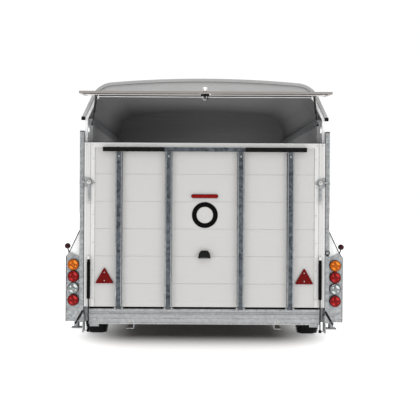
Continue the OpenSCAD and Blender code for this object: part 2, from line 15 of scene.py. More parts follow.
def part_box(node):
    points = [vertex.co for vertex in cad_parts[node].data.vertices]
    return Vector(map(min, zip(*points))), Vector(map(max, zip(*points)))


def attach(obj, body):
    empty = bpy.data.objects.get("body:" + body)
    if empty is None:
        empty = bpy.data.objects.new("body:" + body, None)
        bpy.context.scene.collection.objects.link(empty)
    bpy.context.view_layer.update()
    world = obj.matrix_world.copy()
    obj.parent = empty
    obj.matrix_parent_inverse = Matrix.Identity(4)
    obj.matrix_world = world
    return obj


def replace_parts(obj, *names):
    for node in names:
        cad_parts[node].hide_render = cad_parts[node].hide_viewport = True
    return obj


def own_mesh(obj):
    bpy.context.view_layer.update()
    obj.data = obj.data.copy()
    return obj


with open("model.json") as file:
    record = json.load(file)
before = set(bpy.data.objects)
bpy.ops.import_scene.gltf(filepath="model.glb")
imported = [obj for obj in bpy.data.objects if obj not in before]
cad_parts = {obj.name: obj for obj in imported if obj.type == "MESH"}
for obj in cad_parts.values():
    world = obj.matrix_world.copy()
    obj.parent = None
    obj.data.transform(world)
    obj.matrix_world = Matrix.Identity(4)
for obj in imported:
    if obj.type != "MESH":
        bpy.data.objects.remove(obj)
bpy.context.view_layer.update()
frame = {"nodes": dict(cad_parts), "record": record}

log = logging.getLogger("trailer")
Flat = tuple[float, float]
Point = tuple[float, float, float]
Colour = tuple[float, float, float]
MM = 0.001
RIB_PITCH = 27.5 * MM


# ---------------------------------------------------------------- finishes
class Pattern(Enum):
    """The ways a surface varies."""

    GRAIN = "fine grain"
    SPANGLE = "zinc spangle"
    BRUSHED = "brushed metal"
    PLANK = "ribbed plank"
    WOOD = "coated board"
    LENS = "lamp lens"


@dataclass(frozen=True)
class Finish:
    """One finish: two colours that a pattern mixes, and the gloss."""

    name: str
    colour: Colour
    second: Colour
    pattern: Pattern = Pattern.GRAIN
    scale: float = 60.0
    rough: tuple[float, float] = (0.35, 0.5)
    metallic: float = 0.0
    bump: float = 0.15
    depth: float = 0.0004
    grime: float = 0.25
    coat: float = 0.0
    specular: float = 0.5

    def material(self, groups: "ShaderGroups") -> bpy.types.Material:
        """Build the node material.

        Args:
            groups: the shared shader node groups.

        Returns:
            The finished material.
        """
        mat = bpy.data.materials.new(self.name)
        mat.use_nodes = True
        nodes, links = mat.node_tree.nodes, mat.node_tree.links
        shader = nodes["Principled BSDF"]
        shader.inputs["Metallic"].default_value = self.metallic
        shader.inputs["Coat Weight"].default_value = self.coat
        shader.inputs["Coat Roughness"].default_value = 0.08
        shader.inputs["Specular IOR Level"].default_value = self.specular
        shader.inputs["IOR"].default_value = 1.47
        place = nodes.new("ShaderNodeTexCoord")
        pattern = nodes.new("ShaderNodeGroup")
        pattern.node_tree = groups.pattern(self.pattern)
        pattern.inputs["Scale"].default_value = self.scale
        links.new(place.outputs["Object"], pattern.inputs["Vector"])
        mix = nodes.new("ShaderNodeMix")
        mix.data_type = "RGBA"
        mix.inputs["A"].default_value = (*self.colour, 1.0)
        mix.inputs["B"].default_value = (*self.second, 1.0)
        links.new(pattern.outputs["Mask"], mix.inputs["Factor"])
        dirt = nodes.new("ShaderNodeGroup")
        dirt.node_tree = groups.grime
        dirt.inputs["Amount"].default_value = self.grime
        links.new(place.outputs["Object"], dirt.inputs["Vector"])
        links.new(mix.outputs["Result"], dirt.inputs["Colour"])
        links.new(dirt.outputs["Colour"], shader.inputs["Base Color"])
        gloss = nodes.new("ShaderNodeMapRange")
        gloss.inputs["To Min"].default_value, gloss.inputs["To Max"].default_value = self.rough
        links.new(pattern.outputs["Mask"], gloss.inputs["Value"])
        links.new(gloss.outputs["Result"], shader.inputs["Roughness"])
        bump = nodes.new("ShaderNodeBump")
        bump.inputs["Strength"].default_value = self.bump
        bump.inputs["Distance"].default_value = self.depth
        links.new(pattern.outputs["Height"], bump.inputs["Height"])
        links.new(bump.outputs["Normal"], shader.inputs["Normal"])
        return mat


class ShaderGroups:
    """The shader node groups that the finishes share, each built once."""

    def __init__(self) -> None:
        """Build every group."""
        self._made = {
            Pattern.GRAIN: self._grain(),
            Pattern.SPANGLE: self._spangle(),
            Pattern.BRUSHED: self._streaks("brushed_metal", (3.0, 60.0, 1.5)),
            Pattern.PLANK: self._plank(),
            Pattern.WOOD: self._streaks("coated_board", (12.0, 0.8, 12.0)),
            Pattern.LENS: self._lens(),
        }
        self.grime = self._grime()

    def pattern(self, which: Pattern) -> bpy.types.NodeTree:
        """Return the group of one pattern."""
        return self._made[which]

    @staticmethod
    def _tree(name: str, inputs: Sequence[tuple[str, str, float]], outputs: Sequence[tuple[str, str]]):
        """Start a group with named sockets.

        Args:
            name: the group's name.
            inputs: name, socket type and first value of each input.
            outputs: name and socket type of each output.

        Returns:
            The tree, its input node and its output node.
        """
        tree = bpy.data.node_groups.new(name, "ShaderNodeTree")
        for label, kind, value in inputs:
            socket = tree.interface.new_socket(name=label, in_out="INPUT", socket_type=kind)
            if kind == "NodeSocketFloat":
                socket.default_value = value
        for label, kind in outputs:
            tree.interface.new_socket(name=label, in_out="OUTPUT", socket_type=kind)
        return tree, tree.nodes.new("NodeGroupInput"), tree.nodes.new("NodeGroupOutput")

    def _pattern_tree(self, name: str):
        """Start a pattern group, which turns a place and a scale into a mask and a height."""
        return self._tree(name, [("Vector", "NodeSocketVector", 0), ("Scale", "NodeSocketFloat", 50.0)],
                          [("Mask", "NodeSocketFloat"), ("Height", "NodeSocketFloat")])

    @staticmethod
    def _noise(tree, vector, scale, detail: float, rough: float = 0.55):
        """Add a noise texture and return its node."""
        noise = tree.nodes.new("ShaderNodeTexNoise")
        noise.inputs["Detail"].default_value = detail
        noise.inputs["Roughness"].default_value = rough
        tree.links.new(vector, noise.inputs["Vector"])
        if isinstance(scale, float):
            noise.inputs["Scale"].default_value = scale
        else:
            tree.links.new(scale, noise.inputs["Scale"])
        return noise

    @staticmethod
    def _math(tree, operation: str, a, b):
        """Add a math node on two sockets or numbers and return its output."""
        node = tree.nodes.new("ShaderNodeMath")
        node.operation = operation
        for socket, value in zip(node.inputs, (a, b)):
            if isinstance(value, (int, float)):
                socket.default_value = value
            else:
                tree.links.new(value, socket)
        return node.outputs[0]

    def _grain(self):
        """Fine moulded or painted grain, with a slow drift of tone."""
        tree, inp, out = self._pattern_tree("fine_grain")
        fine = self._noise(tree, inp.outputs["Vector"], inp.outputs["Scale"], 4.0)
        slow = self._noise(tree, inp.outputs["Vector"], 2.4, 3.0)
        mask = self._math(tree, "ADD", self._math(tree, "MULTIPLY", fine.outputs["Fac"], 0.35),
                          self._math(tree, "MULTIPLY", slow.outputs["Fac"], 0.65))
        tree.links.new(mask, out.inputs["Mask"])
        tree.links.new(fine.outputs["Fac"], out.inputs["Height"])
        return tree

    def _spangle(self):
        """Zinc crystals: flat cells of different tone under a cloudy stain."""
        tree, inp, out = self._pattern_tree("zinc_spangle")
        cells = tree.nodes.new("ShaderNodeTexVoronoi")
        tree.links.new(inp.outputs["Vector"], cells.inputs["Vector"])
        tree.links.new(inp.outputs["Scale"], cells.inputs["Scale"])
        tone = tree.nodes.new("ShaderNodeSeparateColor")
        tree.links.new(cells.outputs["Color"], tone.inputs["Color"])
        cloud = self._noise(tree, inp.outputs["Vector"], 14.0, 5.0, 0.7)
        mask = self._math(tree, "ADD", self._math(tree, "MULTIPLY", tone.outputs[0], 0.55),
                          self._math(tree, "MULTIPLY", cloud.outputs["Fac"], 0.75))
        mask = self._math(tree, "SUBTRACT", mask, 0.18)
        tree.links.new(mask, out.inputs["Mask"])
        tree.links.new(tone.outputs[0], out.inputs["Height"])
        return tree

    def _streaks(self, name: str, stretch: Point):
        """Streaks along one direction.

        Args:
            name: the group's name.
            stretch: how often the pattern repeats along X, Y and Z.

        Returns:
            The group.
        """
        tree, inp, out = self._pattern_tree(name)
        mapping = tree.nodes.new("ShaderNodeMapping")
        mapping.inputs["Scale"].default_value = stretch
        tree.links.new(inp.outputs["Vector"], mapping.inputs["Vector"])
        streak = self._noise(tree, mapping.outputs["Vector"], inp.outputs["Scale"], 5.0, 0.6)
        cloud = self._noise(tree, inp.outputs["Vector"], 3.0, 3.0)
        mask = self._math(tree, "ADD", self._math(tree, "MULTIPLY", streak.outputs["Fac"], 0.6),
                          self._math(tree, "MULTIPLY", cloud.outputs["Fac"], 0.4))
        tree.links.new(mask, out.inputs["Mask"])
        tree.links.new(streak.outputs["Fac"], out.inputs["Height"])
        return tree

    def _plank(self):
        """Shallow ribs along an extruded plank, with faint rolling streaks."""
        tree, inp, out = self._pattern_tree("ribbed_plank")
        split = tree.nodes.new("ShaderNodeSeparateXYZ")
        tree.links.new(inp.outputs["Vector"], split.inputs["Vector"])
        phase = self._math(tree, "MULTIPLY", split.outputs["Z"], 2 * math.pi / RIB_PITCH)
        wave = self._math(tree, "SINE", phase, 0.0)
        rib = self._math(tree, "GREATER_THAN", wave, 0.93)
        mapping = tree.nodes.new("ShaderNodeMapping")
        mapping.inputs["Scale"].default_value = (0.6, 0.6, 9.0)
        tree.links.new(inp.outputs["Vector"], mapping.inputs["Vector"])
        streak = self._noise(tree, mapping.outputs["Vector"], inp.outputs["Scale"], 4.0)
        mask = self._math(tree, "ADD", self._math(tree, "MULTIPLY", streak.outputs["Fac"], 0.8),
                          self._math(tree, "MULTIPLY", rib, 0.22))
        tree.links.new(mask, out.inputs["Mask"])
        tree.links.new(self._math(tree, "SUBTRACT", streak.outputs["Fac"], rib), out.inputs["Height"])
        return tree

    def _lens(self):
        """Small prisms moulded in a lamp's lens."""
        tree, inp, out = self._pattern_tree("lamp_prisms")
        cells = tree.nodes.new("ShaderNodeTexVoronoi")
        cells.distance = "CHEBYCHEV"
        cells.inputs["Randomness"].default_value = 0.0
        tree.links.new(inp.outputs["Vector"], cells.inputs["Vector"])
        tree.links.new(inp.outputs["Scale"], cells.inputs["Scale"])
        near = self._math(tree, "MULTIPLY", cells.outputs["Distance"], 1.6)
        tree.links.new(near, out.inputs["Mask"])
        tree.links.new(near, out.inputs["Height"])
        return tree

    def _grime(self):
        """Road dust that gathers towards the ground."""
        tree, inp, out = self._tree(
            "road_dust",
            [("Vector", "NodeSocketVector", 0), ("Colour", "NodeSocketColor", 0),
             ("Amount", "NodeSocketFloat", 0.2)],
            [("Colour", "NodeSocketColor")])
        split = tree.nodes.new("ShaderNodeSeparateXYZ")
        tree.links.new(inp.outputs["Vector"], split.inputs["Vector"])
        low = tree.nodes.new("ShaderNodeMapRange")
        low.inputs["From Min"].default_value, low.inputs["From Max"].default_value = 0.75, 0.1
        tree.links.new(split.outputs["Z"], low.inputs["Value"])
        cloud = self._noise(tree, inp.outputs["Vector"], 7.0, 6.0, 0.65)
        spots = tree.nodes.new("ShaderNodeMapRange")
        spots.inputs["From Min"].default_value, spots.inputs["From Max"].default_value = 0.42, 0.72
        tree.links.new(cloud.outputs["Fac"], spots.inputs["Value"])
        base = self._math(tree, "ADD", self._math(tree, "MULTIPLY", low.outputs["Result"], 0.6), 0.12)
        amount = self._math(tree, "MULTIPLY", self._math(tree, "MULTIPLY", spots.outputs["Result"], base),
                            inp.outputs["Amount"])
        mix = tree.nodes.new("ShaderNodeMix")
        mix.data_type = "RGBA"
        mix.inputs["B"].default_value = (0.30, 0.27, 0.23, 1.0)
        tree.links.new(amount, mix.inputs["Factor"])
        tree.links.new(inp.outputs["Colour"], mix.inputs["A"])
        tree.links.new(mix.outputs["Result"], out.inputs["Colour"])
        return tree


FINISHES: dict[str, Finish] = {
    "galvanised": Finish("light_galvanised", (0.40, 0.41, 0.415), (0.17, 0.18, 0.192), Pattern.SPANGLE, 55.0,
                         (0.34, 0.5), 0.75, 0.14, grime=0.3),
    "galvanised_dark": Finish("dark_galvanised", (0.006, 0.010, 0.016), (0.135, 0.155, 0.172), Pattern.SPANGLE,
                              46.0, (0.3, 0.48), 0.7, 0.25, grime=0.1),
    "white_plank": Finish("white_plank", (0.435, 0.43, 0.42), (0.41, 0.405, 0.397), Pattern.PLANK, 16.0,
                          (0.32, 0.45), 0.0, 0.12, grime=0.1, coat=0.1),
    "alu_frame": Finish("satin_aluminium", (0.70, 0.70, 0.695), (0.62, 0.62, 0.62), Pattern.BRUSHED, 40.0,
                        (0.34, 0.46), 0.35, 0.06, grime=0.1),
    "white_sheet": Finish("white_enamel", (0.76, 0.76, 0.76), (0.71, 0.71, 0.71), Pattern.GRAIN, 240.0,
                          (0.28, 0.4), 0.0, 0.06, grime=0.25, coat=0.2),
    "grey_panel": Finish("grey_moulding", (0.42, 0.42, 0.43), (0.36, 0.36, 0.37), Pattern.GRAIN, 160.0,
                         (0.4, 0.55), 0.0, 0.1),
    "roof_grey": Finish("roof_moulding", (0.135, 0.135, 0.137), (0.155, 0.155, 0.157), Pattern.GRAIN, 130.0,
                        (0.42, 0.58), 0.0, 0.12, grime=0.08),
    "flap_white": Finish("flap_skin", (0.74, 0.72, 0.70), (0.68, 0.665, 0.65), Pattern.GRAIN, 180.0,
                         (0.35, 0.5), 0.1, 0.08),
    "floor_wood": Finish("coated_floor", (0.20, 0.13, 0.08), (0.12, 0.08, 0.05), Pattern.WOOD, 30.0,
                         (0.5, 0.7), 0.0, 0.3),
    "rubber": Finish("black_rubber", (0.004, 0.004, 0.0045), (0.008, 0.008, 0.008), Pattern.GRAIN, 220.0,
                     (0.6, 0.8), 0.0, 0.25, grime=0.01, specular=0.05),
    "black_plastic": Finish("black_moulding", (0.004, 0.004, 0.005), (0.008, 0.008, 0.008), Pattern.GRAIN,
                            320.0, (0.4, 0.55), 0.0, 0.2, grime=0.01, specular=0.1),
    "black_steel": Finish("black_enamel", (0.004, 0.004, 0.005), (0.008, 0.008, 0.008), Pattern.GRAIN, 180.0,
                          (0.2, 0.35), 0.0, 0.05, grime=0.02, specular=0.2),
    "tyre": Finish("tyre_rubber", (0.007, 0.007, 0.0075), (0.013, 0.0128, 0.0125), Pattern.GRAIN, 140.0,
                   (0.65, 0.85), 0.0, 0.3, grime=0.03, specular=0.08),
    "rim_silver": Finish("silver_wheel", (0.56, 0.57, 0.58), (0.46, 0.47, 0.49), Pattern.GRAIN, 200.0,
                         (0.3, 0.42), 0.6, 0.06, grime=0.3, coat=0.2),
    "lens_red": Finish("red_lens", (0.27, 0.0, 0.0), (0.07, 0.0, 0.0), Pattern.LENS, 130.0,
                       (0.12, 0.25), 0.0, 0.45, 0.001, grime=0.0, coat=0.05, specular=0.12),
    "lens_amber": Finish("amber_lens", (0.62, 0.14, 0.002), (0.16, 0.025, 0.0), Pattern.LENS, 130.0,
                         (0.12, 0.25), 0.0, 0.45, 0.001, grime=0.0, coat=0.05, specular=0.12),
    "lens_clear": Finish("clear_lens", (0.34, 0.36, 0.36), (0.03, 0.035, 0.035), Pattern.LENS, 120.0,
                         (0.08, 0.2), 0.4, 0.5, 0.001, grime=0.02, coat=0.4),
}
UPPER_SIDE = Finish("grey_side_panel", (0.20, 0.20, 0.205), (0.23, 0.23, 0.235), Pattern.GRAIN, 130.0,
                     (0.45, 0.6))
# Painted shade: the header is white paint, given a mid grey that stands in for the shade it lies in.
SHADED_HEADER = Finish("header_painted_shade", (0.36, 0.358, 0.36), (0.33, 0.328, 0.329), Pattern.GRAIN, 120.0, (0.4, 0.55))
RAMP_RAIL = Finish("ramp_rail", (0.55, 0.547, 0.54), (0.50, 0.497, 0.49), Pattern.BRUSHED, 40.0, (0.38, 0.5),
                   0.1, 0.06, grime=0.08)
SILL = Finish("sill_galvanised", (0.37, 0.375, 0.38), (0.25, 0.255, 0.262), Pattern.SPANGLE, 60.0, (0.36, 0.5),
              0.6, 0.1, grime=0.2)
TRIM = Finish("roof_edge_trim", (0.26, 0.26, 0.262), (0.33, 0.33, 0.332), Pattern.GRAIN, 120.0, (0.35, 0.5))
FLAP_EDGE = Finish("bronze_edge", (0.21, 0.19, 0.175), (0.29, 0.27, 0.25), Pattern.BRUSHED, 60.0,
                    (0.3, 0.45), 0.5)
TRIANGLE = Finish("reflex_red", (0.17, 0.0, 0.0), (0.06, 0.0, 0.0), Pattern.LENS, 160.0, (0.15, 0.3), 0.0,
                  0.4, 0.0008, grime=0.0, coat=0.02, specular=0.1)
MARKER = Finish("maroon_lens", (0.040, 0.002, 0.006), (0.014, 0.001, 0.002), Pattern.LENS, 150.0, (0.12, 0.25),
                0.0, 0.4, 0.0008, grime=0.0, coat=0.05, specular=0.15)
# Painted highlights: bright glint colours for the lobes laid on the lamp lenses.
RED_GLINT = Finish("red_painted_glint", (0.46, 0.006, 0.006), (0.30, 0.0, 0.0), Pattern.LENS, 200.0, (0.1, 0.2), 0.0,
                   0.3, 0.0006, grime=0.0, coat=0.2, specular=0.3)
AMBER_GLINT = Finish("amber_painted_glint", (0.78, 0.27, 0.01), (0.58, 0.13, 0.003), Pattern.LENS, 200.0, (0.1, 0.2),
                     0.0, 0.3, 0.0006, grime=0.0, coat=0.2, specular=0.3)
CLEAR_GLINT = Finish("clear_painted_glint", (0.70, 0.74, 0.73), (0.36, 0.41, 0.39), Pattern.LENS, 200.0, (0.06, 0.15),
                     0.3, 0.3, 0.0006, grime=0.0, coat=0.4)
ZINC_BOLT = Finish("zinc_bolt", (0.46, 0.46, 0.45), (0.34, 0.34, 0.33), Pattern.BRUSHED, 300.0,
                    (0.25, 0.4), 0.9)
BELLOWS = Finish("bellows_rubber", (0.014, 0.014, 0.015), (0.02, 0.02, 0.02), Pattern.GRAIN, 260.0,
                 (0.5, 0.7), specular=0.25)
EMBLEM = Finish("black_emblem", (0.002, 0.002, 0.002), (0.004, 0.004, 0.004), Pattern.GRAIN, 260.0,
                (0.5, 0.6), grime=0.0, specular=0.02)


class Palette:
    """Hands out one material for each finish."""

    def __init__(self) -> None:
        """Build the shared groups."""
        self.groups = ShaderGroups()
        self._made: dict[str, bpy.types.Material] = {}

    def get(self, finish: Finish) -> bpy.types.Material:
        """Return the material of a finish, building it the first time."""
        if finish.name not in self._made:
            self._made[finish.name] = finish.material(self.groups)
        return self._made[finish.name]


palette = Palette()


# ---------------------------------------------------------------- places
def box_of(node: str) -> tuple[Vector, Vector]:
    """Return the lowest and highest corner of a CAD node."""
    low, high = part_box(node)
    return Vector(low), Vector(high)


REAR = box_of("rear_arch")[0].y - 14 * MM


def at(x: float, y: float, z: float) -> Vector:
    """Turn millimetres from the rear frame into a place in the frame."""
    return Vector((x * MM, REAR + y * MM, z * MM))


# ---------------------------------------------------------------- mesh making
@dataclass
class Shape:
    """Gathers simple solids into one mesh and turns it into a piece."""

    name: str
    bm: bmesh.types.BMesh = field(default_factory=bmesh.new)

    def box(self, low: Vector, high: Vector, bevel: float = 0.0) -> "Shape":
        """Add a box with its edges rounded.

        Args:
            low: the lowest corner.
            high: the highest corner.
            bevel: the radius of its edges.

        Returns:
            The shape itself.
        """
        size = high - low
        place = Matrix.Translation((low + high) / 2) @ Matrix.Diagonal((*size, 1.0))
        made = bmesh.ops.create_cube(self.bm, size=1.0, matrix=place)
        if bevel > 0:
            edges = list({e for v in made["verts"] for e in v.link_edges})
            bmesh.ops.bevel(self.bm, geom=edges, offset=bevel, segments=2, profile=0.6, affect="EDGES")
        return self

    def lathe(self, profile: Sequence[Flat], centre: Vector, axis: str, sides: int = 32) -> "Shape":
        """Add a turned solid.

        Args:
            profile: radius and height of each ring, from one end to the other, in metres.
            centre: where height 0 lies.
            axis: X, Y or Z, with a minus sign to turn it round.
            sides: how many sides a ring has.

        Returns:
            The shape itself.
        """
        turns = {"X": Matrix.Rotation(math.pi / 2, 4, "Y"), "-X": Matrix.Rotation(-math.pi / 2, 4, "Y"),
                 "Y": Matrix.Rotation(-math.pi / 2, 4, "X"), "-Y": Matrix.Rotation(math.pi / 2, 4, "X"),
                 "Z": Matrix.Identity(4), "-Z": Matrix.Rotation(math.pi, 4, "X")}
        place = Matrix.Translation(centre) @ turns[axis]
        turn = 2 * math.pi / sides
        rings = []
        for radius, height in profile:
            if radius < 1e-6:
                rings.append([self.bm.verts.new(place @ Vector((0, 0, height)))])
                continue
            ring = [Vector((radius * math.cos(turn * i), radius * math.sin(turn * i), height))
                    for i in range(sides)]
            rings.append([self.bm.verts.new(place @ corner) for corner in ring])
        for one, two in zip(rings, rings[1:]):
            for i in range(sides):
                j = (i + 1) % sides
                if len(one) == 1:
                    self.bm.faces.new((one[0], two[i], two[j]))
                elif len(two) == 1:
                    self.bm.faces.new((one[i], one[j], two[0]))
                else:
                    self.bm.faces.new((one[i], one[j], two[j], two[i]))
        return self

    def tube(self, path: Sequence[Vector], radius: float, sides: int = 12, closed: bool = False) -> "Shape":
        """Add a round bar along a path.

        Args:
            path: the points of its middle line.
            radius: the bar's radius.
            sides: how many sides a ring has.
            closed: whether the path is a loop.

        Returns:
            The shape itself.
        """
        count = len(path)
        rings = []
        for i, point in enumerate(path):
            before = path[i - 1] if i or closed else path[i]
            after = path[(i + 1) % count] if i < count - 1 or closed else path[i]
            way = (after - before).normalized()
            side = way.orthogonal() if abs(way.z) > 0.95 else way.cross(Vector((0, 0, 1)))
            side.normalize()
            up = way.cross(side)
            rings.append([self.bm.verts.new(point + radius * (side * math.cos(2 * math.pi * k / sides)
                                                              + up * math.sin(2 * math.pi * k / sides)))
                          for k in range(sides)])
        pairs = list(zip(rings, rings[1:])) + ([(rings[-1], rings[0])] if closed else [])
        for one, two in pairs:
            for k in range(sides):
                self.bm.faces.new((one[k], one[(k + 1) % sides], two[(k + 1) % sides], two[k]))
        if not closed:
            self.bm.faces.new(rings[0])
            self.bm.faces.new(list(reversed(rings[-1])))
        return self

    def prism(self, outline: Sequence[Flat], y1: float, y2: float, bevel: float = 0.0) -> "Shape":
        """Add a plate drawn in X and Z and given its thickness along Y.

        Args:
            outline: the corners in metres.
            y1: its rear face.
            y2: its front face.
            bevel: the radius of its edges.

        Returns:
            The shape itself.
        """
        rear = [self.bm.verts.new((x, y1, z)) for x, z in outline]
        front = [self.bm.verts.new((x, y2, z)) for x, z in outline]
        faces = [self.bm.faces.new(rear), self.bm.faces.new(list(reversed(front)))]
        for i in range(len(outline)):
            j = (i + 1) % len(outline)
            faces.append(self.bm.faces.new((rear[j], rear[i], front[i], front[j])))
        if bevel > 0:
            edges = list({e for f in faces for e in f.edges})
            bmesh.ops.bevel(self.bm, geom=edges, offset=bevel, segments=2, profile=0.6, affect="EDGES")
        return self

    def mesh(self) -> bpy.types.Mesh:
        """Return the finished mesh, its faces turned outwards."""
        bmesh.ops.recalc_face_normals(self.bm, faces=list(self.bm.faces))
        mesh = bpy.data.meshes.new(self.name)
        self.bm.to_mesh(mesh)
        self.bm.free()
        mesh.shade_smooth()
        mesh.set_sharp_from_angle(angle=math.radians(38))
        return mesh

    def piece(self, finish: Finish, body: str, slot: str) -> bpy.types.Object:
        """Make the mesh a piece of the trailer.

        Args:
            finish: what it is finished in.
            body: the CAD body it moves with.
            slot: not used.

        Returns:
            The new object.
        """
        return place_piece(self.name, self.mesh(), finish, body)


def place_piece(name: str, mesh: bpy.types.Mesh, finish: Finish, body: str) -> bpy.types.Object:
    """Link a mesh as a piece that rides on a body.

    Args:
        name: the piece's name.
        mesh: its mesh, already in place.
        finish: what it is finished in.
        body: the CAD body it moves with.

    Returns:
        The new object.
    """
    mesh.materials.clear()
    mesh.materials.append(palette.get(finish))
    piece = bpy.data.objects.new(name, mesh)
    bpy.context.scene.collection.objects.link(piece)
    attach(piece, body)
    log.info("piece %s on %s: %d faces", name, body, len(mesh.polygons))
    return piece


def dress(node: str, finish: Finish) -> None:
    """Give a CAD node its material."""
    slots = frame["nodes"][node].material_slots
    if not slots:
        frame["nodes"][node].data.materials.append(palette.get(finish))
    for slot in slots:
        slot.material = palette.get(finish)


# ---------------------------------------------------------------- repeated items
@dataclass(frozen=True)
class Spot:
    """Where one repeated item goes, and how it is turned."""

    place: Vector
    turn: Point = (0.0, 0.0, 0.0)


TO_REAR: Point = (math.pi / 2, 0.0, 0.0)
TO_FRONT: Point = (-math.pi / 2, 0.0, 0.0)
TO_RIGHT: Point = (0.0, math.pi / 2, 0.0)
TO_LEFT: Point = (0.0, -math.pi / 2, 0.0)


class Scatter:
    """A geometry node tree that sets one item on every point and joins the result."""

    def __init__(self) -> None:
        """Build the tree with its named inputs."""
        tree = bpy.data.node_groups.new("set_items", "GeometryNodeTree")
        sockets = {}
        for label, kind in (("Points", "NodeSocketGeometry"), ("Item", "NodeSocketObject"),
                            ("Size", "NodeSocketFloat"), ("Finish", "NodeSocketMaterial")):
            sockets[label] = tree.interface.new_socket(name=label, in_out="INPUT", socket_type=kind)
        tree.interface.new_socket(name="Items", in_out="OUTPUT", socket_type="NodeSocketGeometry")
        inp, out = tree.nodes.new("NodeGroupInput"), tree.nodes.new("NodeGroupOutput")
        turn = tree.nodes.new("GeometryNodeInputNamedAttribute")
        turn.data_type = "FLOAT_VECTOR"
        turn.inputs["Name"].default_value = "turn"
        euler = tree.nodes.new("FunctionNodeEulerToRotation")
        item = tree.nodes.new("GeometryNodeObjectInfo")
        setter = tree.nodes.new("GeometryNodeInstanceOnPoints")
        real = tree.nodes.new("GeometryNodeRealizeInstances")
        paint = tree.nodes.new("GeometryNodeSetMaterial")
        join = tree.links.new
        join(turn.outputs["Attribute"], euler.inputs[0])
        join(inp.outputs["Item"], item.inputs["Object"])
        join(inp.outputs["Points"], setter.inputs["Points"])
        join(item.outputs["Geometry"], setter.inputs["Instance"])
        join(euler.outputs[0], setter.inputs["Rotation"])
        join(inp.outputs["Size"], setter.inputs["Scale"])
        join(setter.outputs["Instances"], real.inputs["Geometry"])
        join(real.outputs["Geometry"], paint.inputs["Geometry"])
        join(inp.outputs["Finish"], paint.inputs["Material"])
        join(paint.outputs["Geometry"], out.inputs[0])
        self.tree = tree
        self.keys = {label: socket.identifier for label, socket in sockets.items()}

    def set(self, name: str, item: Shape, spots: Iterable[Spot], finish: Finish, body: str, slot: str,
            size: float = 1.0) -> bpy.types.Object:
        """Set an item on many spots as one piece.

        Args:
            name: the piece's name.
            item: the item, drawn at the origin and pointing up Z.
            spots: where it goes.
            finish: what it is finished in.
            body: the CAD body it moves with.
            slot: not used.
            size: what the item is scaled by.

        Returns:
            The new piece.
        """
        spots = list(spots)
        points = bpy.data.meshes.new(name + "_points")
        points.from_pydata([tuple(s.place) for s in spots], [], [])
        turns = points.attributes.new("turn", "FLOAT_VECTOR", "POINT")
        for value, spot in zip(turns.data, spots):
            value.vector = spot.turn
        holder = bpy.data.objects.new(name + "_holder", points)
        source = bpy.data.objects.new(name + "_item", item.mesh())
        for thing in (holder, source):
            bpy.context.scene.collection.objects.link(thing)
        modifier = holder.modifiers.new("items", "NODES")
        modifier.node_group = self.tree
        modifier[self.keys["Item"]] = source
        modifier[self.keys["Size"]] = size
        modifier[self.keys["Finish"]] = palette.get(finish)
        graph = bpy.context.evaluated_depsgraph_get()
        graph.update()
        mesh = bpy.data.meshes.new_from_object(holder.evaluated_get(graph))
        holder.modifiers.remove(modifier)
        for thing in (holder, source):
            bpy.data.objects.remove(thing)
        return place_piece(name, mesh, finish, body)


scatter = Scatter()


def screw_head(radius: float) -> Shape:
    """Return a domed screw head with a dished middle, pointing up Z."""
    r = radius
    profile = [(0, 0), (r * 1.15, 0), (r * 1.1, r * 0.18), (r * 0.8, r * 0.5), (r * 0.45, r * 0.62),
               (r * 0.3, r * 0.42), (0, r * 0.42)]
    return Shape("screw").lathe(profile, Vector((0, 0, 0)), "Z", 14)


def hex_bolt(radius: float) -> Shape:
    """Return a bolt head on its washer, pointing up Z."""
    r = radius
    washer = [(0, 0), (r * 1.45, 0), (r * 1.45, r * 0.2), (0, r * 0.2)]
    head = [(0, r * 0.2), (r, r * 0.2), (r, r * 0.8), (r * 0.85, r * 0.92), (0, r * 0.92)]
    shape = Shape("bolt").lathe(washer, Vector((0, 0, 0)), "Z", 18)
    return shape.lathe(head, Vector((0, 0, 0)), "Z", 6)


def both_sides(x: float) -> tuple[float, float]:
    """Return a distance on both sides of the centre line."""
    return (-x, x)


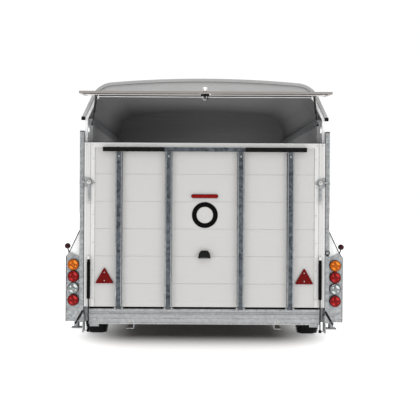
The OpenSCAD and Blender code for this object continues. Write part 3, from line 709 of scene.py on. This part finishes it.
# ---------------------------------------------------------------- sub-assemblies
@dataclass
class Ramp:
    """The rear ramp: planks, galvanised stiffeners, buffers, lamps and fittings."""

    half: float = 968.0
    low: float = 430.0
    high: float = 1750.0
    face: float = -45.0
    plank: float = 220.0
    low_plank: float = 186.0
    screw_x: float = 896.0
    stiff_half: float = 22.5
    stiff_top: float = 1671.0
    stiffeners: tuple[float, ...] = (-689.0, -290.0, 290.0, 689.0)
    body: str = "ramp"

    def build(self) -> None:
        """Build the pieces that the CAD leaves out."""
        self.flanges()
        self.screws()
        self.seals()
        self.lamps()
        self.emblem()
        self.plank_tongues()

    def flanges(self) -> None:
        """Turned-out flanges beside each stiffener, with a bolted foot."""
        shape = Shape("stiffener_flanges")
        for x in self.stiffeners:
            for side in (-1, 1):
                edge = x + side * (self.stiff_half + 0.4)
                near, far = sorted((edge, edge + side * 8))
                shape.box(at(near, self.face - 3.4, self.low + 6), at(far, self.face - 0.4, self.stiff_top),
                          0.8 * MM)
                near, far = sorted((x + side * self.stiff_half, x + side * (self.stiff_half - 5)))
                shape.box(at(near, self.face - 35.2, self.low + 6), at(far, self.face - 34.0, self.stiff_top),
                          0.4 * MM)
        shape.piece(FINISHES["galvanised"], self.body, "galvanised")
        heads = [Spot(at(x, self.face - 34, 1640), TO_REAR) for x in self.stiffeners]
        scatter.set("stiffener_bolts", hex_bolt(5.5 * MM), heads, ZINC_BOLT, self.body, "galvanised")
        rivets = [Spot(at(x + dx, self.face - 3.4, z), TO_REAR) for x in self.stiffeners for dx in (-27, 27)
                  for z in range(500, 1660, 110)]
        scatter.set("flange_rivets", screw_head(2.2 * MM), rivets, ZINC_BOLT, self.body, "galvanised")

    def screws(self) -> None:
        """Screws down both side rails, in the top corners, on the lamps and on the cross-bar."""
        rows = [497 + i * 224 for i in range(6)]
        spots = [Spot(at(x, self.face - 3, z), TO_REAR) for x in both_sides(self.screw_x) for z in rows]
        spots += [Spot(at(x, self.face - 3, z), TO_REAR) for x in (-950, -905, 905, 950) for z in (1731,)]
        scatter.set("ramp_screws", screw_head(4.2 * MM), spots, ZINC_BOLT, self.body, "galvanised")
        dots = [Spot(at(x, self.face - 12, z), TO_REAR) for x in both_sides(803) for z in (640, 706)]
        scatter.set("triangle_screws", screw_head(4.6 * MM), dots, ZINC_BOLT, self.body, "galvanised")

    def plank_tongues(self) -> None:
        """The tongue that shows in each plank joint."""
        joints = [self.low + self.low_plank + i * self.plank for i in range(5)]
        half = 883 * MM
        tongue = Shape("tongue").box(Vector((-half, -0.0025, -0.0029)), Vector((half, 0.0, 0.0016)), 0.0006)
        spots = [Spot(at(0, self.face + 3, z)) for z in joints]
        scatter.set("plank_tongues", tongue, spots, FINISHES["white_plank"], self.body, "white_plank")

    def seals(self) -> None:
        """Rubber lips down both edges and along the top of the ramp."""
        shape = Shape("ramp_edge_seals")
        for side in (-1, 1):
            near, far = sorted((side * (self.half + 0.4), side * (self.half + 5)))
            shape.box(at(near, self.face + 6, self.low), at(far, -7, self.high - 4), 1.2 * MM)
        shape.box(at(-self.half + 10, self.face + 8, self.high + 0.3), at(self.half - 10, -9, self.high + 5),
                  1.5 * MM)
        shape.piece(FINISHES["rubber"], self.body, "rubber")
        lines = Shape("ramp_rail_lines")
        rear, front = self.face - 3.3, self.face - 2.8
        for x in both_sides(884):
            lines.box(at(x - 1.2, rear, self.low + 2), at(x + 1.2, front, self.high - 40))
        for x in both_sides(918):
            lines.box(at(x - 1.5, rear, self.low + 2), at(x + 1.5, front, self.high - 2))
        lines.piece(FINISHES["galvanised"], self.body, "galvanised")

    def lamps(self) -> None:
        """The rounded stop lamp on its gasket, and the number plate lamp's window and hood."""
        for name, grow, depth, finish, slot in (("stop_lamp_gasket", 2.5, 4.0, "rubber", "rubber"),
                                                ("stop_lamp_lens", 0.0, 15.0, "lens_red", "lens_red")):
            half, radius = 93.0, 13.5 + grow
            turns = [(side * half, math.radians(start + 15 * i))
                     for side, start in ((1, -90), (-1, 90)) for i in range(13)]
            outline = [at(x + radius * math.cos(a), 0, 1321.5 + radius * math.sin(a)) for x, a in turns]
            shape = Shape(name).prism([(c.x, c.z) for c in outline], at(0, self.face - depth, 0).y,
                                      at(0, self.face - 0.2, 0).y, 2.0 * MM)
            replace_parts(shape.piece(FINISHES[finish], self.body, slot), "stop_lamp")
        low, high = box_of("plate_lamp")
        mid = (low + high) / 2
        window = Shape("plate_lamp_window")
        window.box(Vector((mid.x - 0.032, low.y - 0.001, low.z - 0.002)),
                   Vector((mid.x + 0.032, high.y - 0.008, low.z + 0.008)), 1.5 * MM)
        window.piece(FINISHES["lens_clear"], self.body, "lens_clear")
        hood = Shape("plate_lamp_hood")
        outline = [(mid.x + x * MM, low.z + z * MM)
                   for x, z in ((-40, 6), (40, 6), (34, 34), (20, 52), (-20, 52), (-34, 34))]
        hood.prism(outline, low.y - 0.007, low.y + 0.004, 3 * MM)
        hood.piece(FINISHES["black_plastic"], self.body, "black_plastic")

    def emblem(self) -> None:
        """A plain round badge: one broad ring."""
        shape = Shape("round_badge")
        centre = at(2, self.face - 0.3, 1170)
        ring = [(0.066, 0.0), (0.066, 0.0022), (0.070, 0.0030), (0.100, 0.0030), (0.104, 0.0022), (0.104, 0.0),
                (0.066, 0.0)]
        shape.lathe(ring, centre, "-Y", 72)
        shape.piece(EMBLEM, self.body, "black_plastic")


@dataclass
class Latches:
    """The ramp's two side latches, with their pivots and pull rings."""

    x: float = 930.0
    z: float = 1432.0
    y: float = -67.0

    def build(self) -> None:
        """Build the caps, the pull rings and the keepers' bolts."""
        for side, name in ((-1, "left"), (1, "right")):
            cap = Shape(f"latch_cap_{name}")
            profile = [(0, -0.002), (0.018, -0.002), (0.018, 0.004), (0.014, 0.009), (0.006, 0.012),
                       (0, 0.012)]
            cap.lathe(profile, at(side * self.x, self.y + 0.5, self.z), "-Y", 28)
            loop = [at(side * self.x + 8 * math.cos(a), self.y + 1, self.z - 158 + 17 * math.sin(a))
                    for a in [2 * math.pi * i / 24 for i in range(24)]]
            cap.tube(loop, 2.6 * MM, 8, closed=True)
            cap.piece(ZINC_BOLT, f"latch_{name}", "galvanised")
        plates = [Spot(at(s * x, -54, z), TO_REAR)
                  for s in (-1, 1) for x, z in ((960, 1466), (960, 1398), (898, 1430))]
        scatter.set("latch_plate_screws", screw_head(4.5 * MM), plates, ZINC_BOLT, "ramp", "galvanised")
        posts = [Spot(at(s * 991, -54, z), TO_REAR) for s in (-1, 1) for z in (1441,)]
        scatter.set("keeper_bolts", hex_bolt(5 * MM), posts, ZINC_BOLT, "trailer", "galvanised")


@dataclass
class Flap:
    """The air flap over the ramp, with its edge strips and catch."""

    half: float = 970.0
    length: float = 364.0
    tilt: float = 3.5
    hinge: tuple[float, float] = (-15.0, 2137.0)

    def point(self, x: float, out: float, up: float) -> Vector:
        """Return a place on the open flap.

        Args:
            x: millimetres to the right.
            out: millimetres out from the hinge.
            up: millimetres above the flap's middle.

        Returns:
            The place in the frame.
        """
        a = math.radians(self.tilt)
        return at(x, self.hinge[0] - out * math.cos(a) - up * math.sin(a),
                  self.hinge[1] - out * math.sin(a) + up * math.cos(a))

    def strip(self, shape: Shape, low: Point, high: Point) -> None:
        """Add a strip that lies along the flap, given as x, out and up of two corners."""
        corners = [self.point(x, out, up) for x in (low[0], high[0]) for out in (low[1], high[1])
                   for up in (low[2], high[2])]
        made = [shape.bm.verts.new(c) for c in corners]
        for quad in ((0, 1, 3, 2), (4, 6, 7, 5), (0, 4, 5, 1), (2, 3, 7, 6), (0, 2, 6, 4), (1, 5, 7, 3)):
            shape.bm.faces.new([made[i] for i in quad])

    def build(self) -> None:
        """Build the edge strips, the catch's bright parts and the rivets."""
        frame_strips = Shape("flap_edge_strips")
        outer = self.length + 14
        self.strip(frame_strips, (-self.half, outer + 0.3, -7.8), (self.half, outer + 3.0, 9.5))
        for x in both_sides(self.half):
            near, far = sorted((x, x - math.copysign(26, x)))
            self.strip(frame_strips, (near, 16, -8.9), (far, outer, -8.2))
            near, far = sorted((x - math.copysign(27, x), math.copysign(60, x)))
            self.strip(frame_strips, (near, outer - 26, -8.9), (far, outer, -8.2))
        self.strip(frame_strips, (-885, 112, -8.9), (885, 165, -8.2))
        frame_strips.piece(FLAP_EDGE, "flap", "alu_frame")
        dark = Shape("flap_inner_seal")
        self.strip(dark, (-885, 16, -12.5), (885, 84, -8.2))
        self.strip(dark, (-self.half + 30, outer - 40, -13), (-40, outer - 30, -8.2))
        self.strip(dark, (40, outer - 40, -13), (self.half - 30, outer - 30, -8.2))
        dark.piece(FINISHES["rubber"], "flap", "rubber")
        a = math.radians(self.tilt)
        rivets = [Spot(self.point(x, out, -8.7), (math.pi - a, 0, 0)) for out in (60, 200, 330)
                  for x in both_sides(self.half - 13)]
        lip = Shape("header_lip").box(at(-868, 2, 2122), at(868, 7.8, 2131), 1.5 * MM)
        lip.piece(FINISHES["alu_frame"], "trailer", "alu_frame")
        rivets += [Spot(self.point(x, outer - 13, -8.7), (math.pi - a, 0, 0)) for x in range(-900, 901, 200)]
        scatter.set("flap_rivets", screw_head(3.6 * MM), rivets, ZINC_BOLT, "flap", "galvanised")
        catch = Shape("flap_catch_knob")
        profile = [(0, -0.012), (0.016, -0.012), (0.018, -0.006), (0.018, 0.012), (0.012, 0.017), (0, 0.017)]
        catch.lathe(profile, self.point(-6, 358, 24), "Z", 24)
        catch.piece(FINISHES["white_sheet"], "flap_catch", "black_plastic")
        hook = Shape("flap_catch_hook")
        bends = [self.point(-6 + x, 358, up) for x, up in ((-18, -28), (-18, -46), (-6, -56), (8, -54))]
        hook.tube(bends, 3.4 * MM, 10)
        hook.piece(ZINC_BOLT, "flap_catch", "galvanised")


@dataclass
class RearLamps:
    """The lamp boards on the mudguards, with their round lamps and markers."""

    x: float = 1056.0
    low: float = 480.0
    pitch: float = 95.0
    marker: tuple[float, float, float] = (1108.0, -12.0, 914.0)

    def build(self) -> None:
        """Build the bezels, the lens fittings, the painted highlights on the lenses, the markers and the
        boards' bolts.
        """
        places = [(s * self.x, self.low + i * self.pitch) for s in (-1, 1) for i in range(4)]
        bezel = Shape("bezel").lathe([(0.0405, 0.001), (0.0455, 0.001), (0.0462, 0.004), (0.0440, 0.0075),
                                      (0.0405, 0.0062), (0.0405, 0.001)], Vector((0, 0, 0)), "Z", 44)
        scatter.set("lamp_bezels", bezel, [Spot(at(x, -36, z), TO_REAR) for x, z in places],
                    FINISHES["black_plastic"], "trailer", "black_plastic")
        screws = [Spot(at(x + dx, -45.4, z), TO_REAR) for x, z in places for dx in (-30, 30)]
        scatter.set("lens_screws", screw_head(3.2 * MM), screws, ZINC_BOLT, "trailer", "galvanised")
        for row, slot in ((3, "lens_amber"), (1, "lens_clear"), (0, "lens_red"), (2, "lens_red")):
            spots = [Spot(at(s * self.x, -48.6, self.low + row * self.pitch), TO_REAR) for s in (-1, 1)]
            boss = Shape("boss").lathe([(0, 0), (0.013, 0), (0.013, 0.003), (0.0105, 0.0045), (0.005, 0.006),
                                        (0, 0.0062)], Vector((0, 0, 0)), "Z", 24)
            scatter.set(f"lens_boss_{row}", boss, spots, FINISHES[slot], "trailer", slot)
        self.painted_glints()
        bolts = [Spot(at(s * x, -14, z), TO_REAR)
                 for s in (-1, 1) for x, z in ((1100, 368), (1024, 345), (1094, 832))]
        scatter.set("board_bolts", hex_bolt(5.5 * MM), bolts, ZINC_BOLT, "trailer", "galvanised")
        self.markers()

    def painted_glints(self) -> None:
        """Painted highlights: bright lobes on the lenses, painted where the reflectors behind them would
        glint.
        """
        for row, finish, slot in ((3, AMBER_GLINT, "lens_amber"), (1, CLEAR_GLINT, "lens_clear"),
                                  (0, RED_GLINT, "lens_red"), (2, RED_GLINT, "lens_red")):
            shape = Shape(f"lens_lobes_{row}")
            for side in (-1, 1):
                x, z = side * self.x, self.low + row * self.pitch
                # Each lobe is a painted highlight: a thin bright plate on the lens.
                for turn, spread, outer in ((48, 32, 36), (142, 15, 30), (236, 30, 33), (328, 14, 29)):
                    angles = [math.radians(turn + spread * d / 4) for d in range(-4, 5)]
                    ring = [(x + outer * math.cos(a), z + outer * math.sin(a)) for a in angles]
                    ring += [(x + 18 * math.cos(a), z + 18 * math.sin(a)) for a in reversed(angles)]
                    outline = [(px * MM, pz * MM) for px, pz in ring]
                    shape.prism(outline, at(0, -51.6, 0).y, at(0, -49.0, 0).y, 0.4 * MM)
            shape.piece(finish, "trailer", slot)

    def markers(self) -> None:
        """The two marker lamps on their rubber stalks."""
        x, y, z = self.marker
        stalk = Shape("marker_holders")
        for side in (-1, 1):
            bends = [at(side * px, 10, pz) for px, pz in ((1098, 862), (1100, 872), (1104, 884), (1107, 897))]
            stalk.tube(bends, 4.5 * MM, 12)
            holder = [(0, -0.018), (0.018, -0.018), (0.0225, -0.012), (0.0225, 0.016), (0.0205, 0.022),
                      (0, 0.022)]
            stalk.lathe(holder, at(side * x, y + 22, z), "-Y", 32)
        stalk_piece = stalk.piece(FINISHES["rubber"], "trailer", "rubber")
        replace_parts(stalk_piece, "marker_stalks")
        lens = Shape("marker_domes")
        for side in (-1, 1):
            lens.lathe([(0, 0), (0.0195, 0), (0.0195, 0.004), (0.0175, 0.009), (0.010, 0.0125), (0, 0.0135)],
                       at(side * x, y + 0.2, z), "-Y", 32)
        lens_piece = lens.piece(MARKER, "trailer", "lens_red")
        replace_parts(lens_piece, "marker_lenses")


@dataclass
class BodyShell:
    """The body's walls, posts, roof edge and mudguards, and the small fittings on them."""

    wall: float = 940.0
    length: float = 3000.0
    posts: tuple[float, ...] = (345.0, 985.0, 1625.0, 2265.0)
    guard: float = 1118.0

    def build(self) -> None:
        """Build every fitting of the body."""
        self.roof_caps()
        self.guard_lips()
        self.rivets()
        self.vents()
        self.sill()
        self.rear_fittings()

    def roof_caps(self) -> None:
        """Black caps on the lower ends of the roof's edge trim, and on top of the rear posts."""
        shape = Shape("roof_end_caps")
        for side in (-1, 1):
            near, far = sorted((side * 971, side * 1001))
            shape.box(at(near, -9, 1934), at(far, 17, 1962), 4 * MM)
            near, far = sorted((side * 974, side * 1009))
            shape.box(at(near, -31, 1838), at(far, 61, 1846), 2.5 * MM)
        shape.piece(FINISHES["rubber"], "trailer", "rubber")

    def guard_lips(self) -> None:
        """Dark lips along the sloping edge of each mudguard and round its wheel arch, and its bolts."""
        shape = Shape("mudguard_lips")
        for side in (-1, 1):
            slope = [at(side * px, -3, pz)
                     for px, pz in ((1010, 1042), (1092, 867.5), (1118.5, 829), (1118.5, 306))]
            shape.tube(slope, 3.2 * MM, 8)
            arch = [at(side * (self.guard + 1), 1380 + 360 * math.cos(a), 298 + 360 * math.sin(a))
                    for a in [math.pi * i / 28 for i in range(29)]]
            shape.tube(arch, 4.5 * MM, 8)
        shape.piece(FINISHES["black_plastic"], "trailer", "black_plastic")
        bolts = [Spot(at(s * self.guard, y, z), TO_RIGHT if s > 0 else TO_LEFT)
                 for s in (-1, 1) for y in range(80, 2760, 260) for z in (800,)]
        scatter.set("mudguard_bolts", hex_bolt(5 * MM), bolts, ZINC_BOLT, "trailer", "galvanised")

    def rivets(self) -> None:
        """Rivets up the posts along both walls and across the front wall."""
        heights = range(1220, 1880, 110)
        spots = [Spot(at(s * (self.wall + 24), y + 25, z), TO_RIGHT if s > 0 else TO_LEFT)
                 for s in (-1, 1) for y in self.posts for z in heights]
        spots += [Spot(at(s * (self.wall + 30), self.length - 25, z), TO_RIGHT if s > 0 else TO_LEFT)
                  for s in (-1, 1) for z in range(480, 1880, 140)]
        spots += [Spot(at(x, self.length, z), TO_FRONT)
                  for x in both_sides(905) for z in range(480, 1690, 110)]
        scatter.set("post_rivets", screw_head(4 * MM), spots, ZINC_BOLT, "trailer", "galvanised")

    def vents(self) -> None:
        """Slatted air shutters between the posts of both walls."""
        slat = Shape("slat").box(Vector((-0.0015, -0.25, -0.010)), Vector((0.0015, 0.25, 0.010)), 0.001)
        spots = [Spot(at(s * (self.wall + 7), y + 345, z), (0, s * 0.5, 0))
                 for s in (-1, 1) for y in self.posts[:3] for z in range(1500, 1621, 20)]
        scatter.set("air_shutter_slats", slat, spots, FINISHES["alu_frame"], "trailer", "alu_frame")
        rim = Shape("air_shutter_frames")
        for side in (-1, 1):
            for y in self.posts[:3]:
                for a, b in (((85, 1478), (605, 1490)), ((85, 1630), (605, 1642)), ((80, 1478), (94, 1642)),
                             ((596, 1478), (610, 1642))):
                    near, far = sorted((side * (self.wall + 0.4), side * (self.wall + 14)))
                    rim.box(at(near, y + a[0], a[1]), at(far, y + b[0], b[1]), 1.5 * MM)
        rim.piece(FINISHES["alu_frame"], "trailer", "alu_frame")

    def sill(self) -> None:
        """The sill's rubber, its folds and its bolts."""
        rubber = Shape("sill_rubber")
        edges = [-922, -735, -643, -336, -244, 244, 336, 643, 735, 922]
        for a, b in zip(edges[::2], edges[1::2]):
            rubber.box(at(a, -31, 412.2), at(b, -8, 424), 3 * MM)
        rubber.piece(FINISHES["rubber"], "trailer", "rubber")
        folds = Shape("sill_folds")
        folds.box(at(-929, -35.5, 366), at(929, -27, 371), 1.5 * MM)
        folds.box(at(-929, -35.5, 398), at(929, -33, 411), 1.5 * MM)
        folds.box(at(-929, -35.5, 291), at(929, -33, 303), 1.5 * MM)
        folds.piece(FINISHES["galvanised"], "trailer", "galvanised")
        bolts = [Spot(at(x, -33, 328), TO_REAR) for x in both_sides(880)]
        bolts += [Spot(at(x, -33, 310), TO_REAR) for x in (-600, -570, 570, 600)]
        scatter.set("sill_bolts", hex_bolt(7 * MM), bolts, ZINC_BOLT, "trailer", "galvanised")

    def rear_fittings(self) -> None:
        """The tie ring, the strut studs and the reflectors down both sides."""
        ring = Shape("tie_ring")
        ring.tube([at(993 + 17 * math.cos(a), -36, 868 + 17 * math.sin(a)) for a in
                   [2 * math.pi * i / 28 for i in range(28)]], 3 * MM, 10, closed=True)
        ring.box(at(985, -44, 842), at(1001, -30.2, 856), 2.5 * MM)
        ring.piece(FINISHES["black_steel"], "trailer", "black_steel")
        studs = [Spot(at(s * 975, -66, 240), TO_RIGHT if s > 0 else TO_LEFT) for s in (-1, 1)]
        scatter.set("strut_studs", hex_bolt(6 * MM), studs, ZINC_BOLT, "trailer", "galvanised")
        side_marks = [Spot(at(s * self.guard, y, 700), TO_RIGHT if s > 0 else TO_LEFT) for s in (-1, 1)
                      for y in (420, 1380, 2360)]
        lens = Shape("side_mark").lathe([(0, 0), (0.030, 0), (0.030, 0.004), (0.027, 0.007), (0, 0.008)],
                                        Vector((0, 0, 0)), "Z", 32)
        scatter.set("side_reflectors", lens, side_marks, FINISHES["lens_amber"], "trailer", "lens_amber")


@dataclass
class Wheel:
    """One road wheel's sidewall ribs, hub cap and tread lugs."""

    side: int
    track: float = 1010.0
    axle: float = 1380.0
    radius: float = 298.0

    @property
    def name(self) -> str:
        """Return left or right."""
        return "right" if self.side > 0 else "left"

    def build(self) -> None:
        """Build the wheel's details."""
        way = "X" if self.side > 0 else "-X"
        centre = at(self.side * self.track, self.axle, self.radius)
        ribs = Shape(f"sidewall_ribs_{self.name}")
        for r, half in ((0.214, 0.0925), (0.232, 0.0928), (0.250, 0.0918)):
            ribs.lathe([(r - 0.003, half - 0.003), (r - 0.0015, half + 0.0012), (r + 0.0015, half + 0.0012),
                        (r + 0.003, half - 0.003), (r - 0.003, half - 0.003)], centre, way, 96)
        ribs.piece(FINISHES["tyre"], f"wheel_{self.name}", "tyre")
        cap = Shape(f"hub_cap_{self.name}")
        profile = [(0, 0.020), (0.031, 0.020), (0.033, 0.023), (0.031, 0.040), (0.024, 0.048), (0.010, 0.051),
                   (0, 0.051)]
        cap.lathe(profile, centre, way, 40)
        cap.piece(ZINC_BOLT, f"wheel_{self.name}", "rim_silver")
        lugs = Shape("lug").box(Vector((-0.014, -0.0055, -0.004)), Vector((0.014, 0.0055, 0.0)), 0.0015)
        count, reach = 64, self.radius - 7.5
        spots = []
        for i in range(count):
            a = 2 * math.pi * i / count
            for dx in (-76, 76):
                place = centre + Vector((dx, reach * math.cos(a), reach * math.sin(a))) * MM
                spots.append(Spot(place, (a - math.pi / 2, 0, 0)))
        body = f"wheel_{self.name}"
        scatter.set(f"shoulder_lugs_{self.name}", lugs, spots, FINISHES["tyre"], body, "tyre")


@dataclass
class Drawbar:
    """The coupling's bellows, the jockey wheel's grip and the plug's parking socket."""

    nose: float = 4000.0
    height: float = 432.0

    def build(self) -> None:
        """Build the drawbar's fittings."""
        bellows = Shape("draw_bellows")
        rings, first, last = 7, 61.0, 160.0
        step = (last - first) / rings
        profile = [(0.0256, 0.0)]
        for i in range(rings):
            profile += [(r, (i + part) * step * MM)
                        for r, part in ((0.034, 0.1), (0.040, 0.5), (0.034, 0.9), (0.0295, 1.0))]
        profile += [(0.0256, (last - first) * MM), (0.0256, 0.0)]
        bellows.lathe(profile, at(0, self.nose + first, self.height), "Y", 40)
        piece = bellows.piece(BELLOWS, "trailer", "rubber")
        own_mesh(piece)
        bolts = [Spot(at(x, self.nose + y, 397)) for x in both_sides(88) for y in (-180, -130, -80)]
        scatter.set("drawbar_bolts", hex_bolt(8 * MM), bolts, ZINC_BOLT, "trailer", "galvanised")
        socket = Shape("plug_parking_socket")
        socket.lathe([(0, 0), (0.024, 0), (0.026, 0.006), (0.026, 0.030), (0.020, 0.036), (0, 0.036)],
                     at(-78, self.nose - 150, 399), "Z", 32)
        socket.box(at(-100, self.nose - 168, 397.3), at(-56, self.nose - 132, 400), 1 * MM)
        socket.piece(FINISHES["black_plastic"], "trailer", "black_plastic")
        grip = Shape("jockey_grip")
        low, high = box_of("jockey_crank")
        top = Vector(((low.x + high.x) / 2, high.y - 0.012, 0))
        profile = [(0.0125, 0.806), (0.0155, 0.808), (0.0165, 0.85), (0.015, 0.89), (0.010, 0.894),
                   (0.0, 0.894)]
        grip.lathe(profile, top, "Z", 24)
        grip.piece(FINISHES["black_plastic"], "jockey_winder", "black_plastic")


@dataclass
class Underframe:
    """The axle's seats with their bolts, and the stands' grips and rivets."""

    axle: float = 1380.0
    rail: float = 600.0

    def build(self) -> None:
        """Build the axle's seats, the stands' grips and the rivets in their feet."""
        shape = Shape("axle_seats")
        for side in (-1, 1):
            near, far = sorted((side * (self.rail - 44), side * (self.rail + 44)))
            shape.box(at(near, self.axle - 70, 228), at(far, self.axle + 70, 239.6), 2 * MM)
            for x, dy in ((self.rail + dx, dy) for dy in (-50, 50) for dx in (36, -36)):
                shape.tube([at(side * x, self.axle + dy, z) for z in (226, 396)], 6 * MM, 10)
        shape.piece(FINISHES["galvanised"], "trailer", "galvanised")
        for side, name in ((-1, "left"), (1, "right")):
            grip = Shape(f"stand_grip_{name}")
            line = [at(side * (1034 - 0.5 * r), -39, 297 + 0.866 * r) for r in (28, 70, 113)]
            grip.tube(line, 8.5 * MM, 14)
            grip.piece(FINISHES["black_plastic"], f"stand_clamp_{name}", "black_plastic")
        for side, name in ((-1, "left"), (1, "right")):
            foot = [Spot(at(side * (1034 + dx), 40 + dy, 254)) for dy in (-31, 31) for dx in (-31, 31)]
            body = f"stand_{name}"
            scatter.set(f"foot_rivets_{name}", screw_head(4 * MM), foot, ZINC_BOLT, body, "galvanised")


class Studio:
    """A pale floor, soft lights and the camera behind the trailer."""

    def build(self) -> None:
        """Set the stage, the lights and the camera."""
        self.floor()
        self.lights()
        self.camera()

    def floor(self) -> None:
        """A pale floor that glows, as a lit table does, except under the trailer, where the glow fades and the
        base colour darkens into a painted shadow.
        """
        mesh = bpy.data.meshes.new("studio_floor")
        reach = 60.0
        mesh.from_pydata([(-reach, -reach, -0.0005), (reach, -reach, -0.0005), (reach, reach, -0.0005),
                          (-reach, reach, -0.0005)], [], [(0, 1, 2, 3)])
        floor = bpy.data.objects.new("studio_floor", mesh)
        bpy.context.scene.collection.objects.link(floor)
        mat = bpy.data.materials.new("pale_floor")
        mat.use_nodes = True
        nodes, links = mat.node_tree.nodes, mat.node_tree.links
        shader = nodes["Principled BSDF"]
        shader.inputs["Roughness"].default_value = 0.8
        shader.inputs["Specular IOR Level"].default_value = 0.1
        shader.inputs["Emission Color"].default_value = (1.0, 1.0, 1.0, 1.0)
        place = nodes.new("ShaderNodeTexCoord")
        steps = (("SUBTRACT", (0.0, REAR + 2.35, 0.0)), ("ABSOLUTE", None), ("SUBTRACT", (0.62, 1.10, 0.0)),
                 ("MAXIMUM", (0.0, 0.0, 0.0)), ("LENGTH", None))
        last = place.outputs["Object"]
        for operation, value in steps:
            node = nodes.new("ShaderNodeVectorMath")
            node.operation = operation
            if value is not None:
                node.inputs[1].default_value = value
            links.new(last, node.inputs[0])
            last = node.outputs["Value" if operation == "LENGTH" else "Vector"]
        # Painted shadow: the glow falls from 0.8 to none towards the trailer's footprint.
        painted_shadow_fade = nodes.new("ShaderNodeMapRange")
        painted_shadow_fade.interpolation_type = "SMOOTHSTEP"
        painted_shadow_fade.inputs["From Max"].default_value = 0.85
        painted_shadow_fade.inputs["To Max"].default_value = 0.8
        links.new(last, painted_shadow_fade.inputs["Value"])
        links.new(painted_shadow_fade.outputs["Result"], shader.inputs["Emission Strength"])
        # Painted shadow: the base colour darkens from 0.9 to 0.4 under the trailer.
        shade = nodes.new("ShaderNodeMapRange")
        shade.inputs["From Max"].default_value = 0.8
        shade.inputs["To Min"].default_value, shade.inputs["To Max"].default_value = 0.4, 0.9
        links.new(painted_shadow_fade.outputs["Result"], shade.inputs["Value"])
        links.new(shade.outputs["Result"], shader.inputs["Base Color"])
        mesh.materials.append(mat)

    def lights(self) -> None:
        """Soft boxes above, behind the camera and inside the cabin, in an even white room."""
        scene = bpy.context.scene
        world = bpy.data.worlds.new("white_room")
        world.use_nodes = True
        nodes, links = world.node_tree.nodes, world.node_tree.links
        nodes["Background"].inputs["Color"].default_value = (1.0, 1.0, 1.0, 1.0)
        ray = nodes.new("ShaderNodeLightPath")
        seen = nodes.new("ShaderNodeMapRange")
        seen.inputs["To Min"].default_value = 0.62
        seen.inputs["To Max"].default_value = 1.02
        links.new(ray.outputs["Is Camera Ray"], seen.inputs["Value"])
        links.new(seen.outputs["Result"], nodes["Background"].inputs["Strength"])
        scene.world = world
        scene.view_settings.view_transform = "Standard"
        for name, place, size, power, aim in (
                ("top_box", (0.0, -3.6, 4.6), (3.5, 2.5), 70.0, (0.0, -1.9, 0.8)),
                ("left_box", (-4.2, -5.2, 2.2), (1.6, 3.0), 65.0, (-0.8, -2.0, 1.1)),
                ("right_box", (4.2, -5.2, 2.2), (1.6, 3.0), 70.0, (0.8, -2.0, 1.1)),
                ("cabin_glow", (0.1, REAR + 1.35, 1.35), (1.5, 2.0), 14.0, (0.3, REAR + 1.5, 3.0))):
            light = bpy.data.lights.new(name, "AREA")
            light.shape = "RECTANGLE"
            light.size, light.size_y = size
            light.energy = power
            thing = bpy.data.objects.new(name, light)
            thing.location = place
            thing.rotation_mode = "QUATERNION"
            thing.rotation_quaternion = (Vector(aim) - Vector(place)).to_track_quat("-Z", "Y")
            thing.visible_camera = False
            scene.collection.objects.link(thing)

    def camera(self) -> None:
        """The camera stands 7 m behind the rear frame, 1.3 m up, and looks straight ahead."""
        lens = bpy.data.cameras.new("rear_camera")
        lens.sensor_width, lens.lens = 36.0, 74.07
        lens.shift_x, lens.shift_y = 0.0405, -0.031
        camera = bpy.data.objects.new("rear_camera", lens)
        aim = Matrix.Rotation(math.pi / 2, 3, "X") @ Matrix.Rotation(math.radians(0.3), 3, "Z")
        camera.rotation_euler = aim.to_euler()
        camera.location = (-0.094, REAR - 7.0, 1.315)
        bpy.context.scene.collection.objects.link(camera)
        bpy.context.scene.camera = camera


def dress_frame() -> None:
    """Give every CAD node the finish of its slot, or its own."""
    own = {"upper_sides": UPPER_SIDE, "rear_header": SHADED_HEADER, "roof_trim": TRIM, "reflex_triangles": TRIANGLE,
           "ramp_frame": RAMP_RAIL, "rear_sill": SILL, "ramp_strut_rods": EMBLEM, "ramp_strut_barrels": EMBLEM}
    for part in frame["record"]["subparts"]:
        dress(part["node"], own.get(part["node"], FINISHES[part["material_slot"]]))


def main() -> None:
    """Build the looks of the whole trailer."""
    logging.basicConfig(level=logging.INFO, format="%(name)s: %(message)s")
    Studio().build()
    dress_frame()
    for part in (Ramp(), Latches(), Flap(), RearLamps(), BodyShell(), Wheel(-1), Wheel(1), Drawbar(),
                 Underframe()):
        part.build()
        log.info("built %s", type(part).__name__)


if __name__ == "__main__":
    main()
